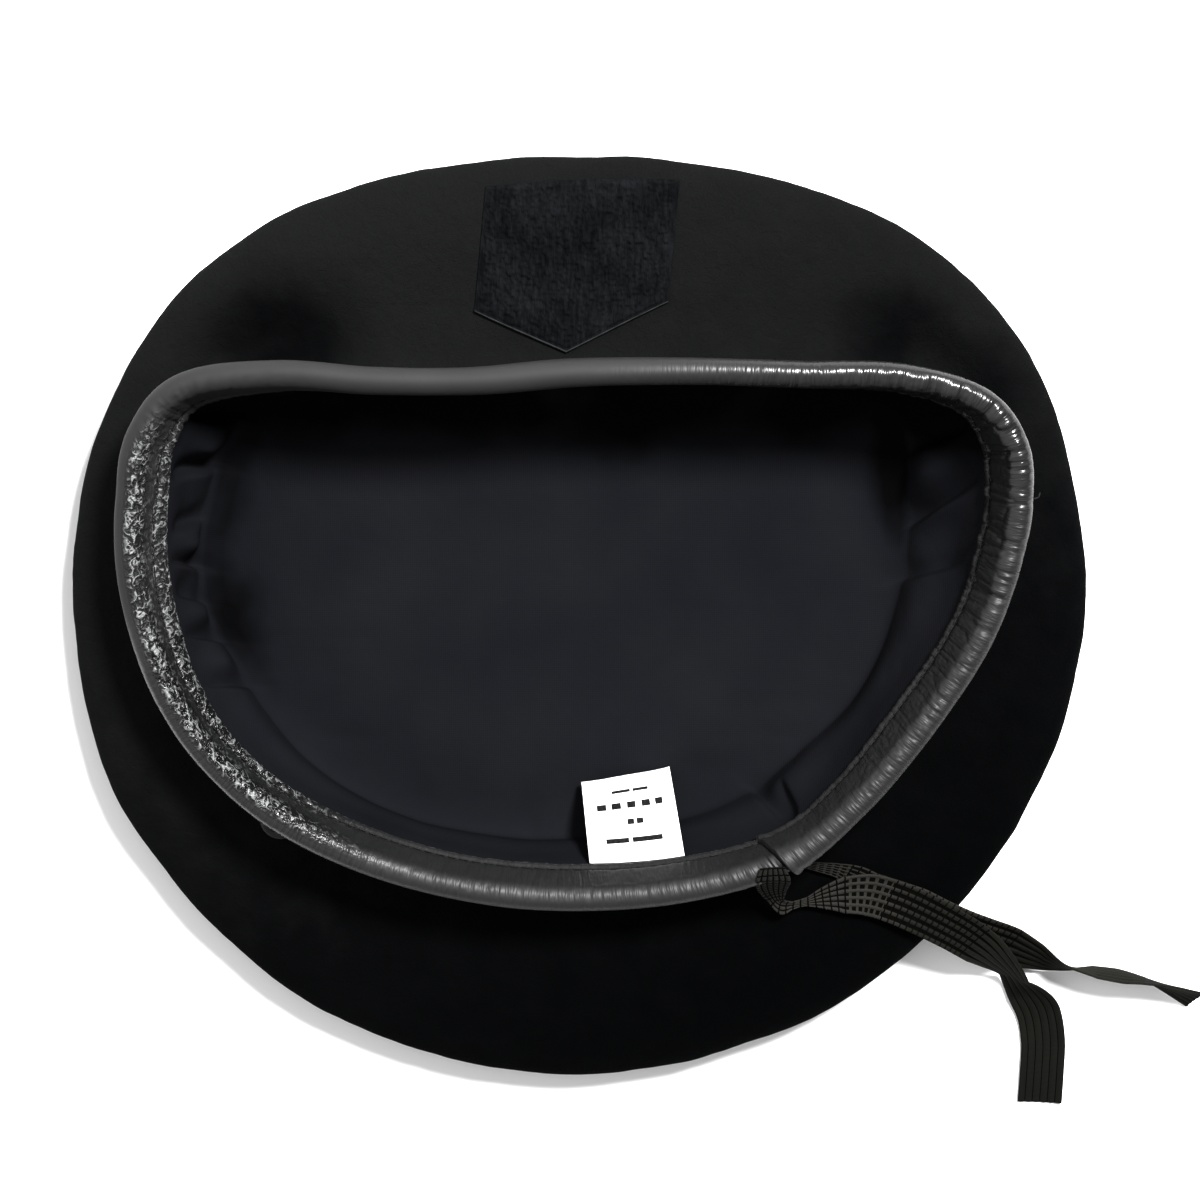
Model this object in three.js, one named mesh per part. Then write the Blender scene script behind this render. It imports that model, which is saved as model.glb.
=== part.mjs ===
// A beret lying on its crown with the opening up: a felted wool crown in one piece, a cloth lining,
// a rolled leather binding round the opening, two loose ends of drawstring tape, a pile panel on the
// front wall, a small label and an eyelet. Millimetres, +Z up, the front of the beret towards -Y,
// and the origin on the table under the middle of the crown.

import * as THREE from 'three';

const DEG = Math.PI / 180;

// Wool crown
const CROWN_WIDTH = 265;
const CROWN_DEPTH = 245.5;
const CROWN_SHIFT = -0.35;
const EDGE_HEIGHT = 12;
const EDGE_LIFT = 26;
const FELT = 2;
const WALL_PUFF = 11;
const WALL_TUCK = 9;
const DENT_DEPTH = 3.5;

// Opening, measured along the middle of the leather roll
const OPENING_WIDTH = 226;
const OPENING_DEPTH = 139;
const OPENING_SIDE = 2;
const OPENING_FRONT = 3.8;
const RIM_HEIGHT = 43;

// Leather binding
const BINDING_HEIGHT = 13;
const ROLL = 7;
const LEATHER = 1.2;
const GROOVE_DEPTH = 0.6;
const GROOVE_UP = 4;
const JOINT_TURN = 118;
const JOINT_SLIT = 0.6;

// Lining
const LINING = 1;
const FLOOR_ROUND = 4;
const FOLD_DEPTH = 4;

// Space left between pieces that lie against each other
const CLEARANCE = 0.3;

// Pile panel on the front wall
const PANEL_WIDTH = 49.5;
const PANEL_LENGTH = 42;
const PANEL_POINT = 13;
const PANEL_THICKNESS = 1.5;
const PANEL_DROP = 4;

// Label sewn under the binding at the back
const LABEL_WIDTH = 26;
const LABEL_LENGTH = 28.5;
const LABEL_THICKNESS = 0.5;
const LABEL_TURN = 99;
const LABEL_SLOPE = 52;

// Eyelet in the back wall
const EYELET_TURN = 46;
const EYELET_OUTER = 10.4;
const EYELET_INNER = 5;
const EYELET_THICKNESS = 1.4;
const EYELET_DROP = 8.6;

// Drawstring tape
const TAPE_WIDTH = 12;
const TAPE_THICKNESS = 0.6;

const STEPS_ROUND = 80;

// A row for each section round the beret. turn is in degrees, counter-clockwise from +X seen from above.
// rim and floor are shares of half the opening, edge of half the crown, rise of the rim's height,
// and lean is the outward tip of the binding in degrees.
const SECTIONS = [
  { turn: 0, rim: 0.972, rise: 0.88, lean: 27, edge: 1.0, floor: 0.86 },
  { turn: 15, rim: 0.95, rise: 0.88, lean: 20, edge: 0.995, floor: 0.82 },
  { turn: 30, rim: 0.953, rise: 0.89, lean: 15, edge: 0.997, floor: 0.83 },
  { turn: 45, rim: 0.967, rise: 0.90, lean: 13, edge: 1.002, floor: 0.87 },
  { turn: 60, rim: 0.978, rise: 0.92, lean: 13, edge: 1.007, floor: 0.91 },
  { turn: 75, rim: 0.99, rise: 0.94, lean: 12, edge: 1.009, floor: 0.92 },
  { turn: 90, rim: 0.995, rise: 0.95, lean: 13, edge: 1.01, floor: 0.91 },
  { turn: 105, rim: 0.995, rise: 0.95, lean: 11, edge: 1.0, floor: 0.88 },
  { turn: 120, rim: 0.978, rise: 0.95, lean: 9, edge: 0.992, floor: 0.83 },
  { turn: 135, rim: 0.91, rise: 0.95, lean: 14, edge: 0.985, floor: 0.77 },
  { turn: 150, rim: 0.87, rise: 0.94, lean: 19, edge: 0.982, floor: 0.75 },
  { turn: 165, rim: 0.875, rise: 0.93, lean: 20, edge: 0.985, floor: 0.74 },
  { turn: 180, rim: 0.927, rise: 0.93, lean: 21, edge: 0.998, floor: 0.75 },
  { turn: 195, rim: 1.016, rise: 0.93, lean: 23, edge: 1.018, floor: 0.8 },
  { turn: 207, rim: 1.128, rise: 0.94, lean: 25, edge: 1.042, floor: 0.87 },
  { turn: 216, rim: 1.224, rise: 0.96, lean: 25, edge: 1.057, floor: 0.96 },
  { turn: 224, rim: 1.27, rise: 0.97, lean: 20, edge: 1.064, floor: 1.06 },
  { turn: 232, rim: 1.223, rise: 0.98, lean: 14, edge: 1.061, floor: 1.06 },
  { turn: 243, rim: 1.1, rise: 1.00, lean: 9, edge: 1.04, floor: 0.98 },
  { turn: 257, rim: 1.017, rise: 1.00, lean: 6, edge: 1.016, floor: 0.92 },
  { turn: 270, rim: 0.983, rise: 1.00, lean: 5, edge: 1.004, floor: 0.9 },
  { turn: 283, rim: 0.98, rise: 1.00, lean: 6, edge: 1.012, floor: 0.9 },
  { turn: 295, rim: 1.055, rise: 0.99, lean: 9, edge: 1.032, floor: 0.95 },
  { turn: 304, rim: 1.18, rise: 0.97, lean: 15, edge: 1.05, floor: 1.03 },
  { turn: 313, rim: 1.27, rise: 0.94, lean: 23, edge: 1.06, floor: 1.07 },
  { turn: 322, rim: 1.224, rise: 0.92, lean: 29, edge: 1.056, floor: 1.02 },
  { turn: 333, rim: 1.117, rise: 0.90, lean: 32, edge: 1.04, floor: 0.95 },
  { turn: 346, rim: 1.03, rise: 0.88, lean: 30, edge: 1.018, floor: 0.9 },
];

// Dents (and swells, with a negative depth) of the wool wall. up runs from 0 at the outermost fold
// to 1 at the binding's lower edge, spread is in degrees, reach is a share of up, and depth is a share
// of DENT_DEPTH.
const WOOL_DENTS = [
  { turn: 236, up: 0.8, spread: 9, reach: 0.2, depth: 1 },
  { turn: 301, up: 0.78, spread: 8, reach: 0.2, depth: 1 },
  { turn: 300, up: 0.35, spread: 12, reach: 0.2, depth: -0.57 },
  { turn: 62, up: 0.5, spread: 14, reach: 0.3, depth: 0.57 },
  { turn: 150, up: 0.45, spread: 12, reach: 0.3, depth: 0.57 },
];

// Folds of the lining's side wall, pulled in towards the middle by depth, a share of FOLD_DEPTH.
const LINING_FOLDS = [
  { turn: 322, up: 0.6, spread: 4, reach: 0.3, depth: 0.75 },
  { turn: 333, up: 0.5, spread: 4, reach: 0.35, depth: -0.3 },
  { turn: 345, up: 0.6, spread: 4, reach: 0.3, depth: 0.75 },
  { turn: 353, up: 0.5, spread: 4, reach: 0.35, depth: -0.25 },
  { turn: 2, up: 0.6, spread: 4, reach: 0.3, depth: 0.62 },
  { turn: 15, up: 0.55, spread: 5, reach: 0.3, depth: 0.62 },
  { turn: 212, up: 0.45, spread: 7, reach: 0.35, depth: 1 },
  { turn: 199, up: 0.5, spread: 5, reach: 0.3, depth: -0.5 },
  { turn: 128, up: 0.5, spread: 6, reach: 0.3, depth: 0.5 },
];

// The two loose ends of drawstring tape, from the joint of the binding over the back wall and down to
// the table: the middle of the tape, its tilt about its own length in degrees, and its share of the
// full width where it is gathered. ribbon_over crosses above ribbon_under.
const RIBBON_ROUTES = {
  ribbon_over: [
    { at: [-50.8, 57.8, 45.2], tilt: 0, width: 0.5 },
    { at: [-51.6, 61.2, 42.4], tilt: 0, width: 0.62 },
    { at: [-52.2, 65.0, 36.5], tilt: 0, width: 0.62 },
    { at: [-53.0, 69.0, 30.2], tilt: 10, width: 0.5 },
    { at: [-54.9, 72.2, 26.2], tilt: 30, width: 0.38 },
    { at: [-59.0, 73.3, 24.6], tilt: 25, width: 0.45 },
    { at: [-63.6, 71.6, 24.1], tilt: 10, width: 0.75 },
    { at: [-69.6, 69.7, 23.6], tilt: 6, width: 1 },
    { at: [-76.6, 69.9, 22.8], tilt: 4, width: 1 },
    { at: [-83.6, 72.3, 21.8], tilt: 3, width: 1 },
    { at: [-90.2, 75.6, 20.5], tilt: 4, width: 1 },
    { at: [-96.2, 79.2, 18.6], tilt: 6, width: 1 },
    { at: [-102.2, 83.2, 16.1], tilt: 10, width: 1 },
    { at: [-107.9, 87.8, 13.3], tilt: 20, width: 1 },
    { at: [-113.0, 93.0, 9.9], tilt: 42, width: 1 },
    { at: [-117.3, 98.0, 6.4], tilt: 62, width: 1 },
    { at: [-121.2, 103.4, 4.0], tilt: 32, width: 1 },
    { at: [-124.4, 109.4, 1.5], tilt: 8, width: 1 },
    { at: [-125.9, 117.9, 0.5], tilt: 0, width: 1 },
    { at: [-125.8, 126.4, 0.4], tilt: 0, width: 1 },
    { at: [-125.4, 135.4, 0.4], tilt: 0, width: 1 },
  ],
  ribbon_under: [
    { at: [-57.5, 61.4, 24.2], tilt: 4, width: 0.4 },
    { at: [-62.3, 63.6, 23.3], tilt: 4, width: 0.6 },
    { at: [-68.2, 65.9, 22.3], tilt: 4, width: 0.85 },
    { at: [-75.5, 68.7, 21.4], tilt: 3, width: 1 },
    { at: [-82.2, 70.8, 20.4], tilt: 3, width: 1 },
    { at: [-89.0, 73.6, 19.0], tilt: 3, width: 1 },
    { at: [-95.2, 77.2, 17.1], tilt: 5, width: 1 },
    { at: [-101.4, 80.6, 14.7], tilt: 8, width: 1 },
    { at: [-108.0, 84.2, 11.8], tilt: 12, width: 1 },
    { at: [-114.8, 87.9, 8.9], tilt: 16, width: 1 },
    { at: [-121.8, 91.6, 6.9], tilt: 34, width: 1 },
    { at: [-129.4, 94.8, 6.3], tilt: 66, width: 1 },
    { at: [-138.8, 96.2, 6.2], tilt: 88, width: 1 },
    { at: [-145.8, 97.3, 6.2], tilt: 90, width: 1 },
    { at: [-152.8, 98.7, 6.1], tilt: 82, width: 1 },
    { at: [-159.6, 101.2, 5.8], tilt: 66, width: 1 },
    { at: [-166.6, 104.3, 5.2], tilt: 50, width: 1 },
  ],
};

// The value of one column of the sections at any turn, as a smooth closed curve through the rows
function columnAt(name, turn) {
  const count = SECTIONS.length;
  const wanted = ((turn % 360) + 360) % 360;
  const index = SECTIONS.findLastIndex((row) => row.turn <= wanted);
  const row = (offset) => {
    const place = index + offset;
    const wrapped = ((place % count) + count) % count;
    return { turn: SECTIONS[wrapped].turn + 360 * Math.floor(place / count), value: SECTIONS[wrapped][name] };
  };
  const [before, from, to, after] = [row(-1), row(0), row(1), row(2)];
  const span = to.turn - from.turn;
  const share = (wanted - from.turn) / span;
  const slopeFrom = ((to.value - before.value) / (to.turn - before.turn)) * span;
  const slopeTo = ((after.value - from.value) / (after.turn - from.turn)) * span;
  const square = share * share;
  const cube = square * share;
  return (2 * cube - 3 * square + 1) * from.value + (cube - 2 * square + share) * slopeFrom
    + (3 * square - 2 * cube) * to.value + (cube - square) * slopeTo;
}

// A point of the opening's plan, at a share of its half sizes
function openingPoint(name, turn) {
  const share = columnAt(name, turn);
  const x = OPENING_SIDE + share * Math.cos(turn * DEG) * OPENING_WIDTH / 2;
  const y = -OPENING_FRONT + share * Math.sin(turn * DEG) * OPENING_DEPTH / 2;
  return new THREE.Vector3(x, y, 0);
}

// The middle of the roll at one turn, with the directions across and along the binding
function rimFrame(turn) {
  const middle = openingPoint('rim', turn);
  const travel = openingPoint('rim', turn + 1).sub(openingPoint('rim', turn - 1)).normalize();
  const out = new THREE.Vector3(travel.y, -travel.x, 0);
  const lean = columnAt('lean', turn) * DEG;
  const along = out.clone().multiplyScalar(Math.sin(lean)).setZ(Math.cos(lean));
  const across = out.clone().multiplyScalar(Math.cos(lean)).setZ(-Math.sin(lean));
  middle.z = columnAt('rise', turn) * RIM_HEIGHT;
  const place = (outwards, up) => middle.clone().addScaledVector(across, outwards).addScaledVector(along, up);
  return { place, along, travel, out };
}

// Layers inside the binding, from the outer flange inwards
const SLOT = FELT + LINING + 3 * CLEARANCE;
const WOOL_FACE = SLOT / 2 - CLEARANCE;
const LINING_FACE = WOOL_FACE - FELT - CLEARANCE;

// How deep a list of dents presses a wall at one place, as a share of its deepest dent
function dentShare(dents, turn, up) {
  let share = 0;
  for (const dent of dents) {
    const aside = (((turn - dent.turn + 540) % 360) - 180) / dent.spread;
    const above = (up - dent.up) / dent.reach;
    share += dent.depth * Math.exp(-aside * aside - above * above);
  }
  return share * Math.sin(Math.PI * THREE.MathUtils.clamp(up, 0, 1));
}

// The direction out of a face, from the slopes of the face itself
function faceNormal(face, turn, stage) {
  const [degrees, share] = [0.5, 0.02];
  const around = face(turn + degrees, stage).sub(face(turn - degrees, stage));
  const upwards = face(turn, stage + share).sub(face(turn, stage - share));
  return around.cross(upwards).normalize();
}

// A face with its wall, between the stages bottom and bottom + 1, pressed in by a list of dents
function dented(face, dents, deepest, bottom) {
  return (turn, stage) => {
    const point = face(turn, stage);
    const up = stage - bottom;
    if (up <= 0 || up >= 1) {
      return point;
    }
    const depth = deepest * dentShare(dents, turn, up);
    return point.addScaledVector(faceNormal(face, turn, stage), -depth);
  };
}

function edgePoint(turn) {
  const share = columnAt('edge', turn);
  const x = share * Math.cos(turn * DEG) * CROWN_WIDTH / 2;
  const y = share * Math.sin(turn * DEG) * CROWN_DEPTH / 2 + CROWN_SHIFT;
  return new THREE.Vector3(x, y, 0);
}

// The outer face of the wool before its dents. stage runs 0 to 1 along the flat underside, to 2 up to
// the outermost fold, to 3 in and up to the binding's lower edge, and to 4 inside the binding.
function plainWool(turn, stage) {
  const edge = edgePoint(turn);
  const lifts = edge.clone().setLength(edge.length() - EDGE_LIFT);
  if (stage <= 1) {
    return lifts.multiplyScalar(stage);
  }
  if (stage <= 2) {
    const angle = (stage - 1) * Math.PI / 2;
    return lifts.lerp(edge, Math.sin(angle)).setZ(EDGE_HEIGHT * (1 - Math.cos(angle)));
  }
  const { place, along } = rimFrame(turn);
  const foot = place(WOOL_FACE, -BINDING_HEIGHT);
  if (stage > 3) {
    return foot.addScaledVector(along, (stage - 3) * BINDING_HEIGHT);
  }
  const start = edge.setZ(EDGE_HEIGHT);
  const above = start.clone().setZ(EDGE_HEIGHT + WALL_PUFF);
  const below = foot.clone().addScaledVector(along, -WALL_TUCK);
  return new THREE.CubicBezierCurve3(start, above, below, foot).getPoint(stage - 2);
}

// The outer face of the lining before its folds. stage runs 0 to 1 along the floor, to 2 up the side,
// and to 3 inside the binding.
function plainLining(turn, stage) {
  const floor = openingPoint('floor', turn).setZ(FELT + CLEARANCE);
  if (stage <= 1) {
    return new THREE.Vector3(floor.x * stage, floor.y * stage, floor.z);
  }
  const { place, along } = rimFrame(turn);
  const foot = place(LINING_FACE, -BINDING_HEIGHT);
  if (stage > 2) {
    return foot.addScaledVector(along, (stage - 2) * BINDING_HEIGHT);
  }
  const outwards = floor.clone().setZ(0).normalize();
  const above = floor.clone().addScaledVector(outwards, FLOOR_ROUND).setZ(floor.z + 2 * FLOOR_ROUND);
  const below = foot.clone().addScaledVector(along, -WALL_TUCK);
  return new THREE.CubicBezierCurve3(floor, above, below, foot).getPoint(stage - 1);
}

const woolFace = dented(plainWool, WOOL_DENTS, DENT_DEPTH, 2);
const liningFace = dented(plainLining, LINING_FOLDS, FOLD_DEPTH, 1);

// A mesh from points and triangles, turned inside out if its faces point inwards
function solid(name, points, triangles, material) {
  const volume = triangles.reduce((sum, [a, b, c]) => {
    return sum + points[a].dot(new THREE.Vector3().crossVectors(points[b], points[c]));
  }, 0);
  const facing = volume < 0 ? triangles.map(([a, b, c]) => [a, c, b]) : triangles;
  const geometry = new THREE.BufferGeometry().setFromPoints(points);
  geometry.setIndex(facing.flat());
  geometry.computeVertexNormals();
  const mesh = new THREE.Mesh(geometry, material);
  mesh.name = name;
  return mesh;
}

// The triangles between two closed rows of points, each square split along its shorter diagonal, so
// that layers that lie against each other are split alike
function squares(points, from, to, count) {
  const triangles = [];
  for (let i = 0; i < count; i += 1) {
    const next = (i + 1) % count;
    const [a, b, c, d] = [from + i, from + next, to + next, to + i];
    if (points[a].distanceTo(points[c]) < points[b].distanceTo(points[d])) {
      triangles.push([a, b, c], [a, c, d]);
    } else {
      triangles.push([a, b, d], [b, c, d]);
    }
  }
  return triangles;
}

// A bag of one thickness: its outer face from the middle of the floor to the top edge, then its
// inner face back to the middle
function bag(name, face, stages, thickness, material) {
  const turns = Array.from({ length: STEPS_ROUND }, (_, i) => JOINT_TURN + (i * 360) / STEPS_ROUND);
  const outer = stages.map((stage) => turns.map((turn) => face(turn, stage)));
  const inner = stages.map((stage, i) => turns.map((turn, j) => {
    return outer[i][j].clone().addScaledVector(faceNormal(face, turn, stage), -thickness);
  }));
  const rings = [...outer, ...inner.reverse()];
  const middle = face(0, 0);
  const points = [...rings.flat(), middle, middle.clone().setZ(middle.z + thickness)];
  const triangles = [];
  for (let i = 0; i < rings.length - 1; i += 1) {
    triangles.push(...squares(points, i * STEPS_ROUND, (i + 1) * STEPS_ROUND, STEPS_ROUND));
  }
  const end = rings.length * STEPS_ROUND;
  for (let i = 0; i < STEPS_ROUND; i += 1) {
    const next = (i + 1) % STEPS_ROUND;
    triangles.push([end, next, i], [end + 1, end - STEPS_ROUND + i, end - STEPS_ROUND + next]);
  }
  return solid(name, points, triangles, material);
}

// A bar from a list of closed loops of points, with its two ends closed by the triangles of cap
function bar(name, loops, cap, material) {
  const count = loops[0].length;
  const points = loops.flat();
  const triangles = [];
  for (let i = 0; i < loops.length - 1; i += 1) {
    triangles.push(...squares(points, i * count, (i + 1) * count, count));
  }
  const last = (loops.length - 1) * count;
  for (const [a, b, c] of cap) {
    triangles.push([a, c, b], [last + a, last + b, last + c]);
  }
  return solid(name, points, triangles, material);
}

// The end of a flat strip whose loop has rows of points on its front and then as many back on its rear
function stripCap(rows) {
  const last = 2 * rows - 1;
  const square = (i) => [[i, i + 1, last - 1 - i], [i, last - 1 - i, last - i]];
  return Array.from({ length: rows - 1 }, (_, i) => square(i)).flat();
}

function cloth(color, roughness) {
  return new THREE.MeshStandardMaterial({ color, roughness, metalness: 0 });
}

function buildCrown() {
  const stages = [1, 1.35, 1.64, 1.85, 2, 2.12, 2.28, 2.48, 2.68, 2.82, 2.92, 3, 3.5, 4];
  return bag('crown', woolFace, stages, FELT, cloth(0x0b0b0d, 0.95));
}

function buildLining() {
  const stages = [1, 1.2, 1.45, 1.7, 1.87, 2, 2.5, 3];
  return bag('lining', liningFace, stages, LINING, cloth(0x1c1d24, 0.85));
}

// The binding's section: x outwards across it, y along it, with 0, 0 in the middle of the roll
function bindingPlan() {
  const flange = SLOT / 2 + LEATHER;
  const roll = Math.max(ROLL / 2, flange);
  const foot = -BINDING_HEIGHT;
  const arcSteps = 5;
  const arc = Array.from({ length: arcSteps + 1 }, (_, i) => {
    const angle = (i * Math.PI) / arcSteps;
    return [roll * Math.cos(angle), roll * Math.sin(angle)];
  });
  const outline = [
    [flange, foot],
    ...arc,
    [-flange, foot + 2 * GROOVE_UP],
    [-flange + GROOVE_DEPTH, foot + GROOVE_UP],
    [-flange, foot + GROOVE_UP / 2],
    [-flange, foot],
    [-SLOT / 2, foot],
    [-SLOT / 2, foot / 2],
    [-SLOT / 2, CLEARANCE],
    [SLOT / 2, CLEARANCE],
    [SLOT / 2, foot / 2],
    [SLOT / 2, foot],
  ];
  return outline.map(([x, y]) => new THREE.Vector2(x, y));
}

// The binding runs once round the opening, from one side of its joint to the other
function buildBinding() {
  const plan = bindingPlan();
  const loops = Array.from({ length: STEPS_ROUND + 1 }, (_, i) => {
    const { place, travel } = rimFrame(JOINT_TURN + (i * 360) / STEPS_ROUND);
    const back = { 0: 1, [STEPS_ROUND]: -1 }[i] ?? 0;
    const slit = travel.multiplyScalar((back * JOINT_SLIT) / 2);
    return plan.map((point) => place(point.x, point.y).add(slit));
  });
  const leather = new THREE.MeshStandardMaterial({ color: 0x2e3130, roughness: 0.42, metalness: 0 });
  return bar('binding', loops, THREE.ShapeUtils.triangulateShape(plan, []), leather);
}

// The stage of the wool wall at a distance from the binding's lower edge, measured over the wool
function wallStage(turn, distance) {
  const small = 0.01;
  let stage = 3;
  let left = distance;
  while (left > 0 && stage > 2 + small) {
    left -= woolFace(turn, stage).distanceTo(woolFace(turn, stage - small));
    stage -= small;
  }
  return stage;
}

// The turn at which the wool, at a distance from the binding, lies beside x on the front wall
function frontTurn(x, distance) {
  let turn = 270;
  for (let i = 0; i < 12; i += 1) {
    const reach = woolFace(turn, wallStage(turn, distance));
    const next = woolFace(turn + 1, wallStage(turn + 1, distance));
    turn += (x - reach.x) / (next.x - reach.x);
  }
  return turn;
}

// The pile panel lies on the front wall, straight at its far edge and pointed towards the binding
function buildPanel() {
  const columns = 11;
  const rows = 7;
  const loops = Array.from({ length: columns }, (_, i) => {
    const side = (2 * i) / (columns - 1) - 1;
    const near = PANEL_DROP + PANEL_POINT * Math.abs(side);
    const far = PANEL_DROP + PANEL_LENGTH;
    const line = Array.from({ length: rows }, (_unused, j) => {
      const distance = near + ((far - near) * j) / (rows - 1);
      const turn = frontTurn((side * PANEL_WIDTH) / 2, distance);
      const stage = wallStage(turn, distance);
      const normal = faceNormal(woolFace, turn, stage);
      return { point: woolFace(turn, stage), normal };
    });
    const lifted = (height) => line.map(({ point, normal }) => point.clone().addScaledVector(normal, height));
    return [...lifted(CLEARANCE + PANEL_THICKNESS), ...lifted(CLEARANCE).reverse()];
  });
  return bar('pile_panel', loops, stripCap(rows), cloth(0x101116, 1));
}

// The label follows the inner edge of the binding and slopes down to the floor of the lining
function buildLabel() {
  const rows = 4;
  const columns = 7;
  const { travel, out } = rimFrame(LABEL_TURN);
  const slope = LABEL_SLOPE * DEG;
  const down = out.clone().multiplyScalar(-Math.cos(slope)).setZ(-Math.sin(slope));
  const facing = new THREE.Vector3().crossVectors(travel, down).normalize();
  const rear = facing.multiplyScalar(-Math.sign(facing.z) * LABEL_THICKNESS);
  const degree = openingPoint('rim', LABEL_TURN + 1).distanceTo(openingPoint('rim', LABEL_TURN));
  const loops = Array.from({ length: columns }, (_, i) => {
    const side = i / (columns - 1) - 0.5;
    const { place } = rimFrame(LABEL_TURN + (side * LABEL_WIDTH) / degree);
    const sewn = place(-(SLOT + LEATHER) / 2, -BINDING_HEIGHT - CLEARANCE - LABEL_THICKNESS);
    const line = Array.from({ length: rows }, (_unused, j) => {
      return sewn.clone().addScaledVector(down, (LABEL_LENGTH * j) / (rows - 1));
    });
    return [...line, ...line.map((point) => point.clone().add(rear)).reverse()];
  });
  return bar('label', loops, stripCap(rows), cloth(0xe9e9e6, 0.7));
}

// The eyelet is a rolled ring seated on the wool, lifted until no part of it cuts into the curved wall
function buildEyelet() {
  const stage = wallStage(EYELET_TURN, EYELET_DROP);
  const seat = woolFace(EYELET_TURN, stage);
  const normal = faceNormal(woolFace, EYELET_TURN, stage);
  const [degrees, share, steps] = [8, 0.2, 16];
  let lift = 0;
  for (let i = -steps; i <= steps; i += 1) {
    for (let j = -steps; j <= steps; j += 1) {
      const turn = EYELET_TURN + (degrees * i) / steps;
      const offset = woolFace(turn, Math.min(stage + (share * j) / steps, 3)).sub(seat);
      const height = offset.dot(normal);
      const aside = Math.sqrt(Math.max(0, offset.lengthSq() - height * height));
      lift = aside < EYELET_OUTER / 2 + CLEARANCE ? Math.max(lift, height) : lift;
    }
  }
  const [outer, inner, thick] = [EYELET_OUTER / 2, EYELET_INNER / 2, EYELET_THICKNESS];
  const middle = (outer + inner) / 2;
  const rolled = [[outer, thick / 2], [middle, thick], [inner, thick / 2]];
  const profile = [[inner, 0], [outer, 0], ...rolled, [inner, 0]].map(([x, y]) => new THREE.Vector2(x, y));
  const geometry = new THREE.LatheGeometry(profile, 20);
  const mesh = new THREE.Mesh(geometry, new THREE.MeshStandardMaterial({
    color: 0x1a1a1c, roughness: 0.35, metalness: 0.9,
  }));
  mesh.name = 'eyelet';
  mesh.quaternion.setFromUnitVectors(new THREE.Vector3(0, 1, 0), normal);
  mesh.position.copy(seat).addScaledVector(normal, lift + CLEARANCE);
  return mesh;
}

// A loose end of tape, flat in section, swept along its route
function buildRibbon(name) {
  const route = RIBBON_ROUTES[name];
  const curve = new THREE.CatmullRomCurve3(route.map((row) => new THREE.Vector3(...row.at)));
  const steps = 2 * (route.length - 1);
  const up = new THREE.Vector3(0, 0, 1);
  const loops = Array.from({ length: steps + 1 }, (_, i) => {
    const along = (i / steps) * (route.length - 1);
    const index = Math.min(Math.floor(along), route.length - 2);
    const share = along - index;
    const blend = (column) => THREE.MathUtils.lerp(route[index][column], route[index + 1][column], share);
    const travel = curve.getTangent(i / steps);
    const side = up.clone().cross(travel).normalize().applyAxisAngle(travel, blend('tilt') * DEG);
    const face = travel.clone().cross(side).multiplyScalar(TAPE_THICKNESS / 2);
    const reach = side.multiplyScalar((blend('width') * TAPE_WIDTH) / 2);
    const middle = curve.getPoint(i / steps);
    const corner = (a, b) => middle.clone().addScaledVector(reach, a).addScaledVector(face, b);
    return [corner(-1, 1), corner(1, 1), corner(1, -1), corner(-1, -1)];
  });
  return bar(name, loops, stripCap(2), cloth(0x1b1a17, 0.8));
}

const beret = new THREE.Group();
beret.add(buildCrown(), buildLining(), buildBinding(), buildPanel(), buildLabel(), buildEyelet());
beret.add(...Object.keys(RIBBON_ROUTES).map(buildRibbon));

export default beret;
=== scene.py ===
"""The looks of a beret that lies on its crown with the opening up.

Shapes are worked out in millimetres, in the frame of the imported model, and made in metres.
"""

import itertools
import math

import bmesh
import bpy
import numpy as np
from mathutils import Matrix


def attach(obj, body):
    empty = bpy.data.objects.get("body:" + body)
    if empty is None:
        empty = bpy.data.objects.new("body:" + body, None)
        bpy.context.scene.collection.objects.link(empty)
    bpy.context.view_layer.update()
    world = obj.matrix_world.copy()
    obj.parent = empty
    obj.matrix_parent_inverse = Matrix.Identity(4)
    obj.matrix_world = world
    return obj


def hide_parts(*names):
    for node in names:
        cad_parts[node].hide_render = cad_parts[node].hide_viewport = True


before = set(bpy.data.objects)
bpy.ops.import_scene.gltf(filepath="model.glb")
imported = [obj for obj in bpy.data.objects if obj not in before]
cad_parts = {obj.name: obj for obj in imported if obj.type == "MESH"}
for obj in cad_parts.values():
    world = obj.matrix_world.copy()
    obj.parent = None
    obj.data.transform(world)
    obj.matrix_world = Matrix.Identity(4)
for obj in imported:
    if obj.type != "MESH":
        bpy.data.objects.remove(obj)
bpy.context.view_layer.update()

MM = 0.001
BODY = "root"
UP = np.array([0.0, 0.0, 1.0])

# ---- Camera: 12 degrees off the vertical, in front of the beret, which is upside down in the picture
TILT = math.radians(12)
CAMERA_AT = (-0.0052, -0.2159, 0.9931)
SENSOR, LENS = 36, 114.5


def make_camera():
    data = bpy.data.cameras.new("camera")
    data.sensor_width = SENSOR
    data.lens = LENS
    data.clip_start = 0.05
    data.clip_end = 50
    camera = bpy.data.objects.new("camera", data)
    bpy.context.scene.collection.objects.link(camera)
    s, c = math.sin(TILT), math.cos(TILT)
    axes = Matrix(((-1, 0, 0), (0, -c, -s), (0, -s, c)))
    camera.matrix_world = Matrix.Translation(CAMERA_AT) @ axes.to_4x4()
    bpy.context.scene.camera = camera


make_camera()


# ---- Mesh tools
def unit(vectors):
    return vectors / np.maximum(np.linalg.norm(vectors, axis=-1, keepdims=True), 1e-12)


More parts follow.
